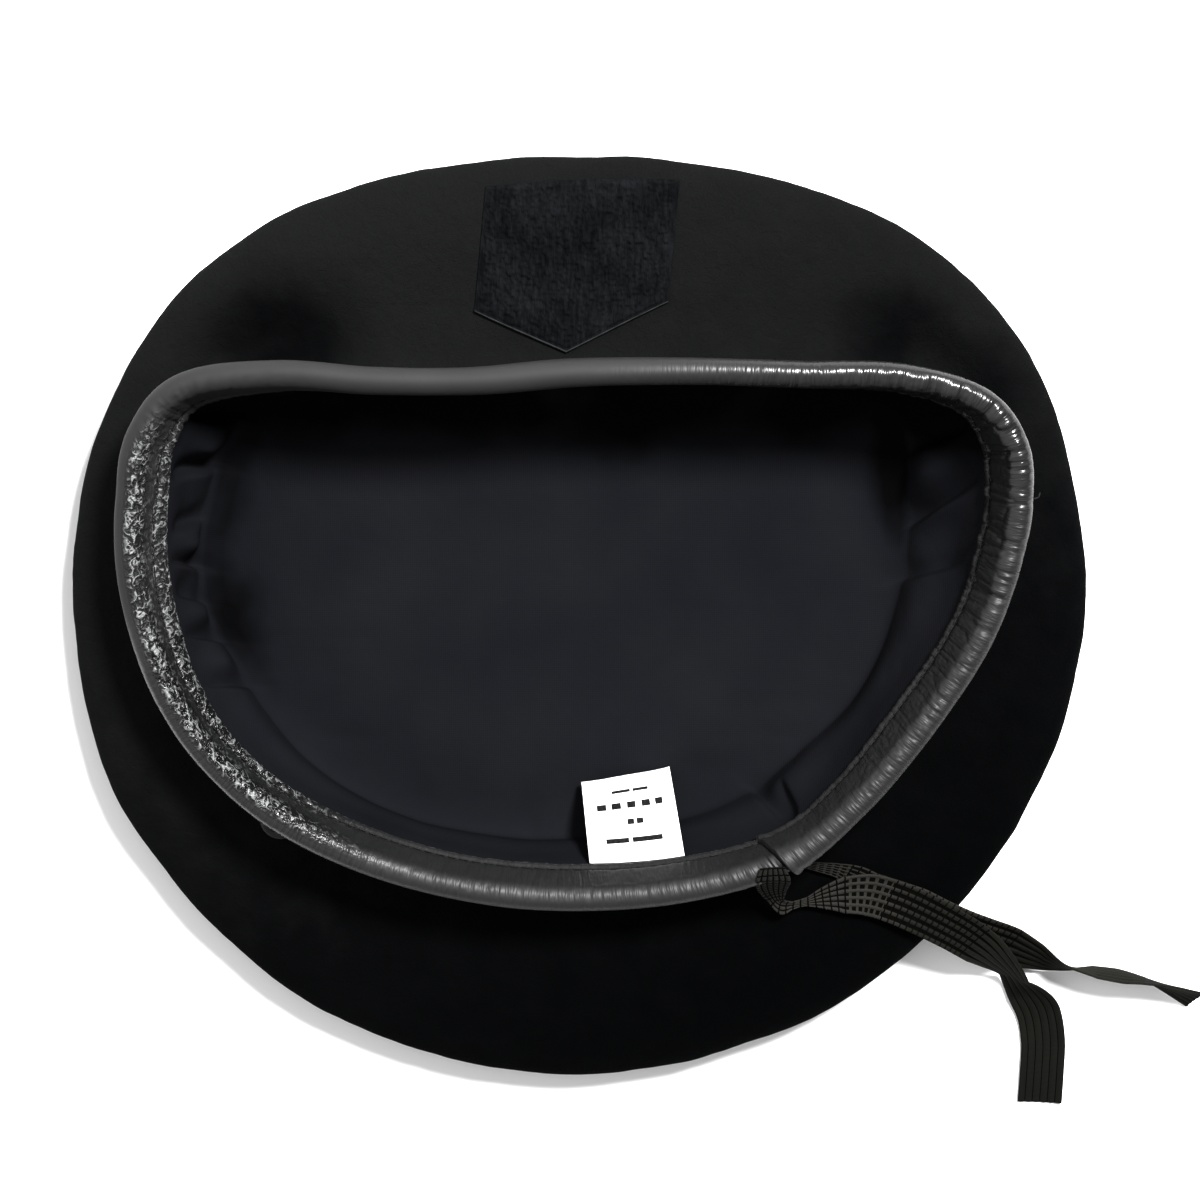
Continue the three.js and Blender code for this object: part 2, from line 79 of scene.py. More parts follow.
def noise(points, scale, seed):
    """Smooth noise from -1 to 1 at points, in cells of one size."""
    side = 64
    table = np.random.default_rng(seed).uniform(-1, 1, (side, side, side))
    cells = np.asarray(points) / scale
    base = np.floor(cells).astype(int)
    part = cells - base
    part = part * part * (3 - 2 * part)
    total = np.zeros(cells.shape[:-1])
    for corner in itertools.product((0, 1), repeat=3):
        weight = np.prod(np.where(corner, part, 1 - part), axis=-1)
        index = (base + corner) % side
        total += weight * table[index[..., 0], index[..., 1], index[..., 2]]
    return total


def crinkle(points, scale, seed, power=4):
    """Thin valleys, from 0 down to -1, where smooth noise crosses zero."""
    return -((1 - np.minimum(1, np.abs(noise(points, scale, seed)) * 1.6)) ** power)


def bell(turn, at, spread, power=2):
    """One at a turn, and fading to nothing over a spread in degrees."""
    return np.exp(-((np.mod(turn - at + 180, 360) - 180) / spread) ** power)


def hermite(start, leave, end, arrive, q):
    """A curve from start to end that leaves and arrives with given slopes, at shares q of it."""
    return (start * (2 * q**3 - 3 * q**2 + 1) + leave * (q**3 - 2 * q**2 + q)
            + end * (3 * q**2 - 2 * q**3) + arrive * (q**3 - q**2))


def piece(name, points, faces, material, smooth=True, uv=None):
    """A mesh object from points in millimetres; uv gives a length pair to each point."""
    mesh = bpy.data.meshes.new(name)
    mesh.from_pydata((np.asarray(points) * MM).tolist(), [], [list(f) for f in faces])
    if uv is not None:
        layer = mesh.uv_layers.new(name="lengths")
        loops = np.zeros(len(mesh.loops), int)
        mesh.loops.foreach_get("vertex_index", loops)
        layer.data.foreach_set("uv", (np.asarray(uv) * MM)[loops].astype(np.float32).ravel())
    bm = bmesh.new()
    bm.from_mesh(mesh)
    bmesh.ops.recalc_face_normals(bm, faces=bm.faces)
    bm.to_mesh(mesh)
    bm.free()
    mesh.polygons.foreach_set("use_smooth", [smooth] * len(mesh.polygons))
    mesh.materials.append(material)
    made = bpy.data.objects.new(name, mesh)
    bpy.context.scene.collection.objects.link(made)
    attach(made, BODY)
    return made


def paint(made, material, marked):
    """A second material for the faces that are marked, counted from the first face."""
    made.data.materials.append(material)
    index = np.zeros(len(made.data.polygons), np.int32)
    index[: marked.size] = marked.ravel()
    made.data.polygons.foreach_set("material_index", index)


def grid_faces(rows, columns, closed, start=0):
    """The quads of a grid of points, row after row, that may close round its columns."""
    width = columns if closed else columns - 1
    i, j = np.meshgrid(np.arange(rows - 1), np.arange(width), indexing="ij")
    near, next_ = i * columns + j, i * columns + (j + 1) % columns
    return (np.stack([near, next_, next_ + columns, near + columns], -1) + start).reshape(-1, 4)


def slab(front, rear):
    """The points and faces of a closed slab between two grids of points of one size."""
    rows, columns = front.shape[:2]
    count = rows * columns
    points = np.concatenate([front.reshape(-1, 3), rear.reshape(-1, 3)])
    faces = [grid_faces(rows, columns, False), grid_faces(rows, columns, False, count)]
    edge = list(range(columns))
    edge += [i * columns + columns - 1 for i in range(1, rows)]
    edge += [(rows - 1) * columns + j for j in range(columns - 2, -1, -1)]
    edge += [i * columns for i in range(rows - 2, 0, -1)]
    edge = np.array(edge)
    after = np.roll(edge, -1)
    faces.append(np.stack([edge, after, after + count, edge + count], -1))
    return points, np.concatenate(faces)


# ---- Materials
class Shader:
    """A node material with one Principled shader, in lengths of metres."""

    def __init__(self, name, color, roughness, **sockets):
        self.material = bpy.data.materials.new(name)
        self.material.use_nodes = True
        self.tree = self.material.node_tree
        self.shader = self.tree.nodes["Principled BSDF"]
        self.shader.inputs["Base Color"].default_value = (*color, 1)
        self.shader.inputs["Roughness"].default_value = roughness
        for socket, value in sockets.items():
            self.shader.inputs[socket.replace("_", " ")].default_value = value
        self.place = self.node("ShaderNodeTexCoord").outputs["Object"]
        self.normal = None

    def node(self, kind, **settings):
        made = self.tree.nodes.new(kind)
        for name, value in settings.items():
            setattr(made, name, value)
        return made

    def link(self, source, target):
        self.tree.links.new(source, target)

    def lengths(self):
        """The lengths along and across a piece, from its own map."""
        return self.node("ShaderNodeUVMap", uv_map="lengths").outputs["UV"]

    def stretched(self, place, scale):
        mapping = self.node("ShaderNodeMapping")
        mapping.inputs["Scale"].default_value = scale
        self.link(place, mapping.inputs["Vector"])
        return mapping.outputs["Vector"]

    def noise(self, size, detail=3, place=None, distortion=0.0):
        """Noise with features of a size in metres, or in the units of a given place."""
        made = self.node("ShaderNodeTexNoise")
        made.inputs["Scale"].default_value = 1 / size
        made.inputs["Detail"].default_value = detail
        made.inputs["Distortion"].default_value = distortion
        self.link(place or self.place, made.inputs["Vector"])
        return made.outputs["Fac"]

    def wave(self, size, place, direction="X", distortion=0.0):
        made = self.node("ShaderNodeTexWave", bands_direction=direction)
        made.inputs["Scale"].default_value = math.pi / 10 / size
        made.inputs["Distortion"].default_value = distortion
        self.link(place, made.inputs["Vector"])
        return made.outputs["Fac"]

    def ramp(self, value, stops):
        """A value through a colour ramp with stops of (position, colour)."""
        made = self.node("ShaderNodeValToRGB")
        elements = made.color_ramp.elements
        while len(elements) < len(stops):
            elements.new(0.5)
        for element, (position, color) in zip(elements, stops):
            element.position = position
            element.color = (*color, 1) if len(color) == 3 else color
        self.link(value, made.inputs["Fac"])
        return made.outputs["Color"]

    def towards(self, place, direction):
        """How far a place is in a direction."""
        made = self.node("ShaderNodeVectorMath", operation="DOT_PRODUCT")
        made.inputs[1].default_value = direction
        self.link(place, made.inputs[0])
        return made.outputs["Value"]

    def scaled(self, value, low, high, smooth=False):
        """A value from low to high as 0 to 1."""
        made = self.node("ShaderNodeMapRange")
        if smooth:
            made.interpolation_type = "SMOOTHSTEP"
        made.inputs["From Min"].default_value = low
        made.inputs["From Max"].default_value = high
        self.link(value, made.inputs["Value"])
        return made.outputs["Result"]

    def math(self, operation, first, second, third=None):
        """A sum of numbers, which are set, and of other nodes' values, which are linked."""
        made = self.node("ShaderNodeMath", operation=operation)
        for socket, value in zip(made.inputs, (first, second, third)):
            if isinstance(value, float):
                socket.default_value = value
            elif value is not None:
                self.link(value, socket)
        return made.outputs["Value"]

    def near(self, centre, inner, outer):
        """One within a distance of a place, and nothing outside another distance."""
        made = self.node("ShaderNodeVectorMath", operation="DISTANCE")
        made.inputs[1].default_value = centre
        self.link(self.place, made.inputs[0])
        return self.math("SUBTRACT", 1.0, self.scaled(made.outputs["Value"], inner, outer, smooth=True))

    def unsettled(self, base, low, high, value, share):
        """A base value from low to high as 0 to 1, shifted by a share of a value about a half."""
        return self.scaled(self.math("MULTIPLY_ADD", value, share, base), low + share / 2, high + share / 2)

    def color(self, value, stops):
        self.link(self.ramp(value, stops), self.shader.inputs["Base Color"])
        return self

    def roughness(self, value, low, high):
        made = self.node("ShaderNodeMapRange")
        made.inputs["To Min"].default_value = low
        made.inputs["To Max"].default_value = high
        self.link(value, made.inputs["Value"])
        self.link(made.outputs["Result"], self.shader.inputs["Roughness"])
        return self

    def bump(self, value, depth, strength=1.0):
        """Relief of a depth in metres on top of the relief so far."""
        made = self.node("ShaderNodeBump")
        made.inputs["Distance"].default_value = depth
        made.inputs["Strength"].default_value = strength
        self.link(value, made.inputs["Height"])
        if self.normal is not None:
            self.link(self.normal, made.inputs["Normal"])
        self.normal = made.outputs["Normal"]
        self.link(self.normal, self.shader.inputs["Normal"])
        return self


def tape_material():
    """Cloth that is paler where the weave is stretched open, and darker towards the loose end."""
    s = Shader("tape_cloth", (0.02, 0.019, 0.016), 0.75, Specular_IOR_Level=0.15)
    lengths = s.lengths()
    run = s.towards(lengths, (1, 0, 0))
    s.color(s.unsettled(run, 0.0, 0.14, s.noise(0.005, 3), 0.02), [
        (0.0, (0.018, 0.0175, 0.0155)),
        (0.20, (0.032, 0.0305, 0.0270)),
        (0.34, (0.032, 0.0305, 0.0270)),
        (0.46, (0.015, 0.0145, 0.0117)),
        (1.0, (0.0062, 0.0064, 0.0050)),
    ])
    s.bump(s.wave(0.00035, lengths, "X"), 0.00006)
    s.bump(s.noise(0.00025, 3), 0.00008)
    return s.material


# Painted shade for the gaps of the tape's weave: a near-black cloth.
def gap_shade_material():
    s = Shader("gap_shade", (0.003, 0.003, 0.0026), 0.9, Specular_IOR_Level=0.03)
    s.color(s.noise(0.0008, 2), [(0.3, (0.0018, 0.0018, 0.0016)), (0.7, (0.004, 0.004, 0.0035))])
    s.bump(s.noise(0.0003, 2), 0.00005)
    return s.material


# ---- The two loose ends of drawstring tape: along, across and up in metres, the tilt about the tape's
# own length in degrees, and the share of the full width where it is gathered
TAPE_WIDTH = 12.0
TAPE_THICKNESS = 0.6
# The weave in millimetres: cells across each rib and each gap, a rib with its gap, the cross threads,
# the gaps along the tape, and how far a fold of the edge reaches
RIBS, RIB_CELLS, GAP_CELLS = 6, 4, 3
RIB_PITCH, THREAD_PITCH, ROWS_PER_THREAD = 2.05, 2.0, 5
TILED_GAP, WIDE_GAP, NARROW_GAP, THIN_GAP = 0.6, 1.15, 0.8, 0.26
FOLD_REACH = 3.2
TAPE_ROUTES = {
    "tape_over": [
        (-0.0497, 0.0560, 0.0454, 0, 0.55),
        (-0.0499, 0.0590, 0.0447, 0, 0.74),
        (-0.0500, 0.0611, 0.0420, 0, 0.76),
        (-0.0503, 0.0640, 0.0365, 0, 0.68),
        (-0.0510, 0.0674, 0.0312, 5, 0.5),
        (-0.0524, 0.0704, 0.0278, 15, 0.22),
        (-0.0555, 0.0715, 0.0258, 28, 0.13),
        (-0.0597, 0.0712, 0.0248, 22, 0.24),
        (-0.0640, 0.0704, 0.0242, 10, 0.52),
        (-0.0696, 0.0697, 0.0236, 6, 0.86),
        (-0.0766, 0.0699, 0.0228, 4, 1),
        (-0.0836, 0.0723, 0.0218, 3, 1),
        (-0.0902, 0.0756, 0.0205, 4, 1),
        (-0.0962, 0.0792, 0.0186, 6, 1),
        (-0.1022, 0.0832, 0.0161, 10, 1),
        (-0.1079, 0.0878, 0.0133, 20, 1),
        (-0.1130, 0.0930, 0.0099, 42, 1),
        (-0.1173, 0.0980, 0.0064, 62, 1),
        (-0.1212, 0.1034, 0.0040, 32, 1),
        (-0.1244, 0.1094, 0.0015, 8, 1),
        (-0.1259, 0.1179, 0.0005, 0, 1),
        (-0.1258, 0.1264, 0.0004, 0, 1),
        (-0.1254, 0.1354, 0.0004, 0, 1),
    ],
    "tape_under": [
        (-0.0590, 0.0612, 0.0243, 4, 0.16),
        (-0.0636, 0.0622, 0.0237, 4, 0.24),
        (-0.0680, 0.0633, 0.0227, 4, 0.34),
        (-0.0728, 0.0657, 0.0218, 3, 0.62),
        (-0.0773, 0.0692, 0.0211, 3, 0.86),
        (-0.0822, 0.0717, 0.0203, 3, 0.95),
        (-0.0890, 0.0748, 0.0188, 3, 1),
        (-0.0952, 0.0784, 0.0169, 5, 1),
        (-0.1014, 0.0817, 0.0145, 8, 1),
        (-0.1080, 0.0848, 0.0117, 12, 1),
        (-0.1148, 0.0879, 0.0089, 16, 1),
        (-0.1218, 0.0916, 0.0069, 34, 1),
        (-0.1294, 0.0948, 0.0063, 66, 1),
        (-0.1388, 0.0962, 0.0062, 88, 1),
        (-0.1458, 0.0973, 0.0062, 90, 1),
        (-0.1528, 0.0987, 0.0061, 82, 1),
        (-0.1596, 0.1012, 0.0058, 66, 1),
        (-0.1666, 0.1043, 0.0052, 50, 1),
    ],
}


def along_route(points, shares):
    """Points of a centripetal curve through the route, at shares counted in its rows."""
    points = np.concatenate([[2 * points[0] - points[1]], points, [2 * points[-1] - points[-2]]])
    index = np.minimum(shares.astype(int), len(points) - 4)
    t = (shares - index)[:, None]
    p0, p1, p2, p3 = (points[index + k] for k in range(4))
    ends = ((p0, p1), (p1, p2), (p2, p3))
    d0, d1, d2 = (np.sqrt(np.linalg.norm(b - a, axis=1))[:, None] for a, b in ends)
    m1 = ((p1 - p0) / d0 - (p2 - p0) / (d0 + d1) + (p2 - p1) / d1) * d1
    m2 = ((p2 - p1) / d1 - (p3 - p1) / (d1 + d2) + (p3 - p2) / d2) * d1
    return hermite(p1, m1, p2, m2, t)


def make_tape(name, node, stages, fold=(0, 0)):
    """A ribbed tape with painted shade, a dark second material, in the gaps between its ribs. The
    stages are lengths along it: up to the first the ribs are cut into tiles, up to the second the
    gaps are wide with bridges, up to the third the ribs are narrow and cut, and past it the gaps are
    thin lines. One edge bulges out by a fold with a place and a size."""
    route = np.array(TAPE_ROUTES[name])
    points = route[:, :3] / MM
    fine = np.linspace(0, len(route) - 1, 2001)
    line = along_route(points, fine)
    travelled = np.concatenate([[0], np.cumsum(np.linalg.norm(np.diff(line, axis=0), axis=1))])
    length = travelled[-1]

    rows = int(length / THREAD_PITCH) * ROWS_PER_THREAD + 1
    s = np.linspace(0, length, rows)
    shares = np.interp(s, travelled, fine)
    middle = along_route(points, shares)
    travel = unit(np.gradient(middle, axis=0))
    side = unit(np.cross(UP, travel))
    tilt = np.radians(np.interp(shares, np.arange(len(route)), route[:, 3]))[:, None]
    side = side * np.cos(tilt) + np.cross(travel, side) * np.sin(tilt)
    face = np.cross(travel, side)
    half = np.interp(shares, np.arange(len(route)), route[:, 4]) * TAPE_WIDTH / 2

    tiled, wide, narrow = stages
    gap = np.interp(
        s,
        [0, tiled - 2, tiled + 2, wide, narrow, narrow + 8],
        [TILED_GAP, TILED_GAP, WIDE_GAP, WIDE_GAP, NARROW_GAP, THIN_GAP],
    )
    openness = np.clip((gap - THIN_GAP) / 0.5, 0, 1)
    kinds = np.array(([0] * RIB_CELLS + [1] * GAP_CELLS) * RIBS)[:-GAP_CELLS]
    rib_width, gap_width = (RIB_PITCH - gap[:, None]) / RIB_CELLS, gap[:, None] / GAP_CELLS
    width = np.where(kinds[None, :] == 1, gap_width, rib_width)
    across = np.concatenate([np.zeros((rows, 1)), np.cumsum(width, axis=1)], axis=1)
    across = 2 * across / across[:, -1:] - 1

    rib_place = np.concatenate([np.linspace(0, 1, RIB_CELLS + 1)[:-1], np.zeros(GAP_CELLS)])
    rib_place = np.concatenate([np.tile(rib_place, RIBS)[: len(kinds)], [1.0]])
    height = np.where(rib_place > 0, np.sin(np.pi * rib_place), 0)
    thick = (TAPE_THICKNESS / 2) * (0.40 + 0.85 * height)[None, :] * np.ones((rows, 1))
    thread = np.abs(np.sin(np.pi * s / THREAD_PITCH))[:, None]
    thick *= 1 - 0.45 * openness[:, None] * (1 - thread)
    wave = 0.10 * np.sin(2 * np.pi * s / 23 + 0.4)[:, None] * across
    curl = 0.16 * half[:, None] * across**2

    centre = middle[:, None] + side[:, None] * (half[:, None] * across)[..., None]
    centre = centre + face[:, None] * (wave + curl * 0.5)[..., None]
    bulge = fold[1] * np.exp(-(((s - fold[0]) / FOLD_REACH) ** 2))[:, None]
    bulge = bulge * np.clip((-across - 0.2) / 0.8, 0, 1)
    centre = centre + bulge[..., None] * np.array([-0.1, 1, -0.25])
    top = centre + face[:, None] * thick[..., None]
    low = centre - face[:, None] * thick[..., None]
    low[..., 2] = np.maximum(low[..., 2], 0.03)
    top[..., 2] = np.maximum(top[..., 2], 0.10)

    columns = len(kinds) + 1
    points, faces = slab(top, low)
    lengths = np.stack([np.repeat(s[:, None], columns, 1), half[:, None] * across], -1).reshape(-1, 2)
    made = piece(name, points, faces, tape_cloth, uv=np.concatenate([lengths, lengths]))
    # The faces in the weave's gaps get painted shade, through the dark second material.
    step = (np.arange(rows - 1) % ROWS_PER_THREAD)[:, None]
    at = s[:-1, None]
    between = kinds[None, :] == 1
    cut = between | (step == 0)
    dark = np.where(at < wide, between & (step < 3), np.where(at < narrow, cut, between))
    dark = np.where(at < tiled, cut, dark)
    paint(made, gap_shade, np.tile(dark.ravel(), 2))
    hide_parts(node)
    return made


tape_cloth = tape_material()
gap_shade = gap_shade_material()
make_tape("tape_over", "ribbon_over", (43, 54, 84), (25.5, 2.6))
make_tape("tape_under", "ribbon_under", (0, 12, 66))

# ---- Sections round the beret: turn, shares of the opening's rim, rise, lean, and shares of the
# crown's edge and the lining's floor
SECTIONS = np.array([
    (0, 0.972, 0.88, 27, 1.0, 0.86),
    (15, 0.95, 0.88, 20, 0.995, 0.82),
    (30, 0.953, 0.89, 15, 0.997, 0.83),
    (45, 0.967, 0.90, 13, 1.002, 0.87),
    (60, 0.978, 0.92, 13, 1.007, 0.91),
    (75, 0.99, 0.94, 12, 1.009, 0.92),
    (90, 0.995, 0.95, 13, 1.01, 0.91),
    (105, 0.995, 0.95, 11, 1.0, 0.88),
    (120, 0.978, 0.95, 9, 0.992, 0.83),
    (135, 0.91, 0.95, 14, 0.985, 0.77),
    (150, 0.87, 0.94, 19, 0.982, 0.75),
    (165, 0.875, 0.93, 20, 0.985, 0.74),
    (180, 0.927, 0.93, 21, 0.998, 0.75),
    (195, 1.016, 0.93, 23, 1.018, 0.8),
    (207, 1.128, 0.94, 25, 1.042, 0.87),
    (216, 1.224, 0.96, 25, 1.057, 0.96),
    (224, 1.27, 0.97, 20, 1.064, 1.06),
    (232, 1.223, 0.98, 14, 1.061, 1.06),
    (243, 1.1, 1.00, 9, 1.04, 0.98),
    (257, 1.017, 1.00, 6, 1.016, 0.92),
    (270, 0.983, 1.00, 5, 1.004, 0.9),
    (283, 0.98, 1.00, 6, 1.012, 0.9),
    (295, 1.055, 0.99, 9, 1.032, 0.95),
    (304, 1.18, 0.97, 15, 1.05, 1.03),
    (313, 1.27, 0.94, 23, 1.06, 1.07),
    (322, 1.224, 0.92, 29, 1.056, 1.02),
    (333, 1.117, 0.90, 32, 1.04, 0.95),
    (346, 1.03, 0.88, 30, 1.018, 0.9),
])
RIM, RISE, LEAN, EDGE, FLOOR = range(1, 6)

CROWN_WIDTH, CROWN_DEPTH, CROWN_SHIFT = 265.0, 245.5, -0.35
EDGE_HEIGHT, EDGE_LIFT, FELT = 12.0, 26.0, 2.0
WALL_PUFF, WALL_TUCK = 11.0, 9.0
OPENING_WIDTH, OPENING_DEPTH, OPENING_SIDE, OPENING_FRONT = 226.0, 139.0, 2.0, 3.8
RIM_HEIGHT = 43.0
BINDING_HEIGHT, ROLL = 13.0, 3.5
LINING, FLOOR_ROUND, CLEARANCE = 1.0, 4.0, 0.3
JOINT_TURN = 118.0
SLOT = FELT + LINING + 3 * CLEARANCE
WOOL_FACE = SLOT / 2 - CLEARANCE
LINING_FACE = WOOL_FACE - FELT - CLEARANCE

# Dents of the wool wall and folds of the lining: turn, up, spread, reach, depth and slant in degrees
WOOL_DENTS = [
    (228, 0.74, 8, 0.18, 6.5, 0),
    (214, 0.84, 9, 0.14, 5.0, 0),
    (308, 0.76, 9, 0.19, 6.5, 0),
    (300, 0.35, 12, 0.20, -2.0, 0),
    (62, 0.50, 14, 0.30, 2.0, 0),
    (150, 0.45, 12, 0.30, 2.0, 0),
]
LINING_FOLDS = [
    (322, 0.60, 4, 0.30, 3.0, 0),
    (333, 0.50, 4, 0.35, -1.2, 0),
    (345, 0.60, 4, 0.30, 3.0, 0),
    (353, 0.50, 4, 0.35, -1.0, 0),
    (2, 0.60, 4, 0.30, 2.5, 0),
    (15, 0.55, 5, 0.30, 2.5, 0),
    (212, 0.45, 7, 0.35, 4.0, 0),
    (199, 0.50, 5, 0.30, -2.0, 0),
    (128, 0.50, 6, 0.30, 2.0, 0),
]
# Creases of the lining: turn, up, spread of the steep side, with a sign for where it is, then reach,
# depth and slant. The other side is wider by SOFT_SIDE.
CREASES = [
    (316.0, 0.40, -1.0, 0.62, 4.0, 3),
    (327.5, 0.42, -1.0, 0.60, 4.4, 5),
    (339.0, 0.50, -1.0, 0.34, 3.2, 4),
    (348.5, 0.45, -1.0, 0.50, 3.8, -3),
    (357.0, 0.45, -1.1, 0.45, 2.6, -5),
    (7.0, 0.45, -1.2, 0.50, 3.0, -6),
    (20.0, 0.45, -1.2, 0.45, 2.2, -6),
    (206.0, 0.48, 1.4, 0.45, 4.2, 10),
    (219.0, 0.45, 1.3, 0.50, 3.0, 4),
    (190.0, 0.40, 1.3, 0.40, 2.4, 6),
    (121.5, 0.50, 0.8, 0.50, 2.2, 2),
    (125.0, 0.66, -0.8, 0.24, 2.2, -4),
]
SOFT_SIDE = 3.2
CORNER_REACH = 0.18


def column(name, turn):
    """One column of the sections at any turn, as a smooth closed curve through the rows."""
    turn = np.mod(turn, 360.0)
    count = len(SECTIONS)
    index = np.searchsorted(SECTIONS[:, 0], turn, side="right") - 1
    (t0, v0), (t1, v1), (t2, v2), (t3, v3) = (
        (SECTIONS[row % count, 0] + 360.0 * (row // count), SECTIONS[row % count, name])
        for row in (index - 1, index, index + 1, index + 2)
    )
    span = t2 - t1
    slope1 = (v2 - v0) / (t2 - t0) * span
    slope2 = (v3 - v1) / (t3 - t1) * span
    return hermite(v1, slope1, v2, slope2, (turn - t1) / span)


def opening_point(name, turn):
    share = column(name, turn)
    angle = np.radians(turn)
    x = OPENING_SIDE + share * np.cos(angle) * OPENING_WIDTH / 2
    y = -OPENING_FRONT + share * np.sin(angle) * OPENING_DEPTH / 2
    return np.stack([x, y, np.zeros_like(x)], -1)


def rim_frame(turn):
    """The middle of the roll, with the directions round, across and along the binding."""
    middle = opening_point(RIM, turn)
    travel = unit(opening_point(RIM, turn + 1) - opening_point(RIM, turn - 1))
    out = np.stack([travel[..., 1], -travel[..., 0], np.zeros_like(travel[..., 0])], -1)
    lean = np.radians(column(LEAN, turn))[..., None]
    along = out * np.sin(lean) + UP * np.cos(lean)
    across = out * np.cos(lean) - UP * np.sin(lean)
    middle[..., 2] = column(RISE, turn) * RIM_HEIGHT
    return middle, travel, across, along


def bezier(points, q):
    a, b, c, d = points
    q = q[..., None]
    return a * (1 - q) ** 3 + 3 * b * q * (1 - q) ** 2 + 3 * c * q**2 * (1 - q) + d * q**3


def dent_depth(dents, turn, up):
    depth = np.zeros_like(up)
    for at, height, spread, reach, deep, slant in dents:
        aside = (np.mod(turn - at - slant * (up - height) + 540, 360) - 180) / spread
        depth += deep * np.exp(-(aside**2) - ((up - height) / reach) ** 2)
    return depth * np.sin(np.pi * np.clip(up, 0, 1))


def face_normal(face, turn, stage):
    around = face(turn + 0.5, stage) - face(turn - 0.5, stage)
    upwards = face(turn, stage + 0.02) - face(turn, stage - 0.02)
    return unit(np.cross(around, upwards))


def edge_point(turn):
    share = column(EDGE, turn)
    angle = np.radians(turn)
    x = share * np.cos(angle) * CROWN_WIDTH / 2
    y = share * np.sin(angle) * CROWN_DEPTH / 2 + CROWN_SHIFT
    return np.stack([x, y, np.zeros_like(x)], -1)


def plain_wool(turn, stage):
    """The wool's outer face: stage 0 to 1 underneath, to 2 up to the outer fold, to 3 in and up to
    the binding, and to 4 inside it."""
    turn, stage = np.broadcast_arrays(np.asarray(turn, float), np.asarray(stage, float))
    edge = edge_point(turn)
    size = np.linalg.norm(edge, axis=-1, keepdims=True)
    lifts = edge * (size - EDGE_LIFT) / size
    angle = (np.clip(stage - 1, 0, 1) * np.pi / 2)[..., None]
    fold = lifts + (edge - lifts) * np.sin(angle) + UP * EDGE_HEIGHT * (1 - np.cos(angle))
    middle, _, across, along = rim_frame(turn)
    foot = middle + across * WOOL_FACE - along * BINDING_HEIGHT
    start = edge + UP * EDGE_HEIGHT
    wall = bezier((start, start + UP * WALL_PUFF, foot - along * WALL_TUCK, foot), np.clip(stage - 2, 0, 1))
    inside = foot + along * ((stage - 3) * BINDING_HEIGHT)[..., None]
    s = stage[..., None]
    return np.where(s <= 1, lifts * s, np.where(s <= 2, fold, np.where(s <= 3, wall, inside)))


def plain_lining(turn, stage):
    """The lining's outer face: stage 0 to 1 along the floor, to 2 up the side, to 3 in the binding."""
    turn, stage = np.broadcast_arrays(np.asarray(turn, float), np.asarray(stage, float))
    flat = opening_point(FLOOR, turn)
    floor = flat + UP * (FELT + CLEARANCE)
    middle, _, across, along = rim_frame(turn)
    foot = middle + across * LINING_FACE - along * BINDING_HEIGHT
    above = floor + unit(flat) * FLOOR_ROUND + UP * 2 * FLOOR_ROUND
    wall = bezier((floor, above, foot - along * WALL_TUCK, foot), np.clip(stage - 1, 0, 1))
    inside = foot + along * ((stage - 2) * BINDING_HEIGHT)[..., None]
    s = stage[..., None]
    return np.where(s <= 1, flat * s + UP * (FELT + CLEARANCE), np.where(s <= 2, wall, inside))


def rounded_lining(turn, stage):
    """The lining with the corner round its floor turned into a soft curve."""
    turn, stage = np.broadcast_arrays(np.asarray(turn, float), np.asarray(stage, float))
    low, high = 1 - CORNER_REACH, 1 + CORNER_REACH
    q = np.clip((stage - low) / (high - low), 0, 1)[..., None]
    a, b, c = (plain_lining(turn, np.full_like(stage, s)) for s in (low, 1.0, high))
    curve = a * (1 - q) ** 2 + 2 * b * q * (1 - q) + c * q**2
    return np.where((q > 0) & (q < 1), curve, plain_lining(turn, stage))


def crease_depth(turn, up):
    """Valleys of the lining that are steep on one side and soft on the other."""
    depth = np.zeros_like(up)
    for at, height, spread, reach, deep, slant in CREASES:
        aside = (np.mod(turn - at - slant * (up - height) + 540, 360) - 180) / spread
        aside = np.where(aside > 0, aside / SOFT_SIDE, aside)
        depth -= deep * np.exp(-(aside**2) - ((up - height) / reach) ** 4)
    return depth * np.sin(np.pi * np.clip((up + 0.08) / 1.08, 0, 1))


def wool_face(turn, stage):
    turn, stage = np.broadcast_arrays(np.asarray(turn, float), np.asarray(stage, float))
    depth = dent_depth(WOOL_DENTS, turn, stage - 2)
    return plain_wool(turn, stage) - face_normal(plain_wool, turn, stage) * depth[..., None]


def shell(name, face, relief, turns, fine, coarse, thickness, seen_inside, material):
    """A bag of one thickness, with its relief given as a push out of the face. The side that is
    seen has the fine rows, and the hidden one the coarse rows. Its map holds turns and stages."""
    sides, maps = [], []
    outside, inside = (coarse, fine) if seen_inside else (fine, coarse)
    for stages, inner in ((outside, False), (inside, True)):
        turn, stage = np.meshgrid(turns, stages)
        normal = face_normal(face, turn, stage)
        points = face(turn, stage)
        points = points + normal * (relief(points, turn, stage) - thickness * inner)[..., None]
        points[..., 2] = np.maximum(points[..., 2], 0.02)
        sides.append(points)
        maps.append(np.stack([turn, stage], -1))
    rows = np.concatenate([sides[0], sides[1][::-1]])
    uv = np.concatenate([np.concatenate([maps[0], maps[1][::-1]]).reshape(-1, 2), np.zeros((2, 2))])
    count, width = rows.shape[:2]
    middle = face(np.array(0.0), np.array(0.0))
    points = np.concatenate([rows.reshape(-1, 3), [middle, middle + UP * thickness]])
    faces = grid_faces(count, width, True).tolist()
    last = count * width
    for j in range(width):
        after = (j + 1) % width
        faces.append((last, after, j))
        faces.append((last + 1, last - width + j, last - width + after))
    return piece(name, points, faces, material, uv=uv)


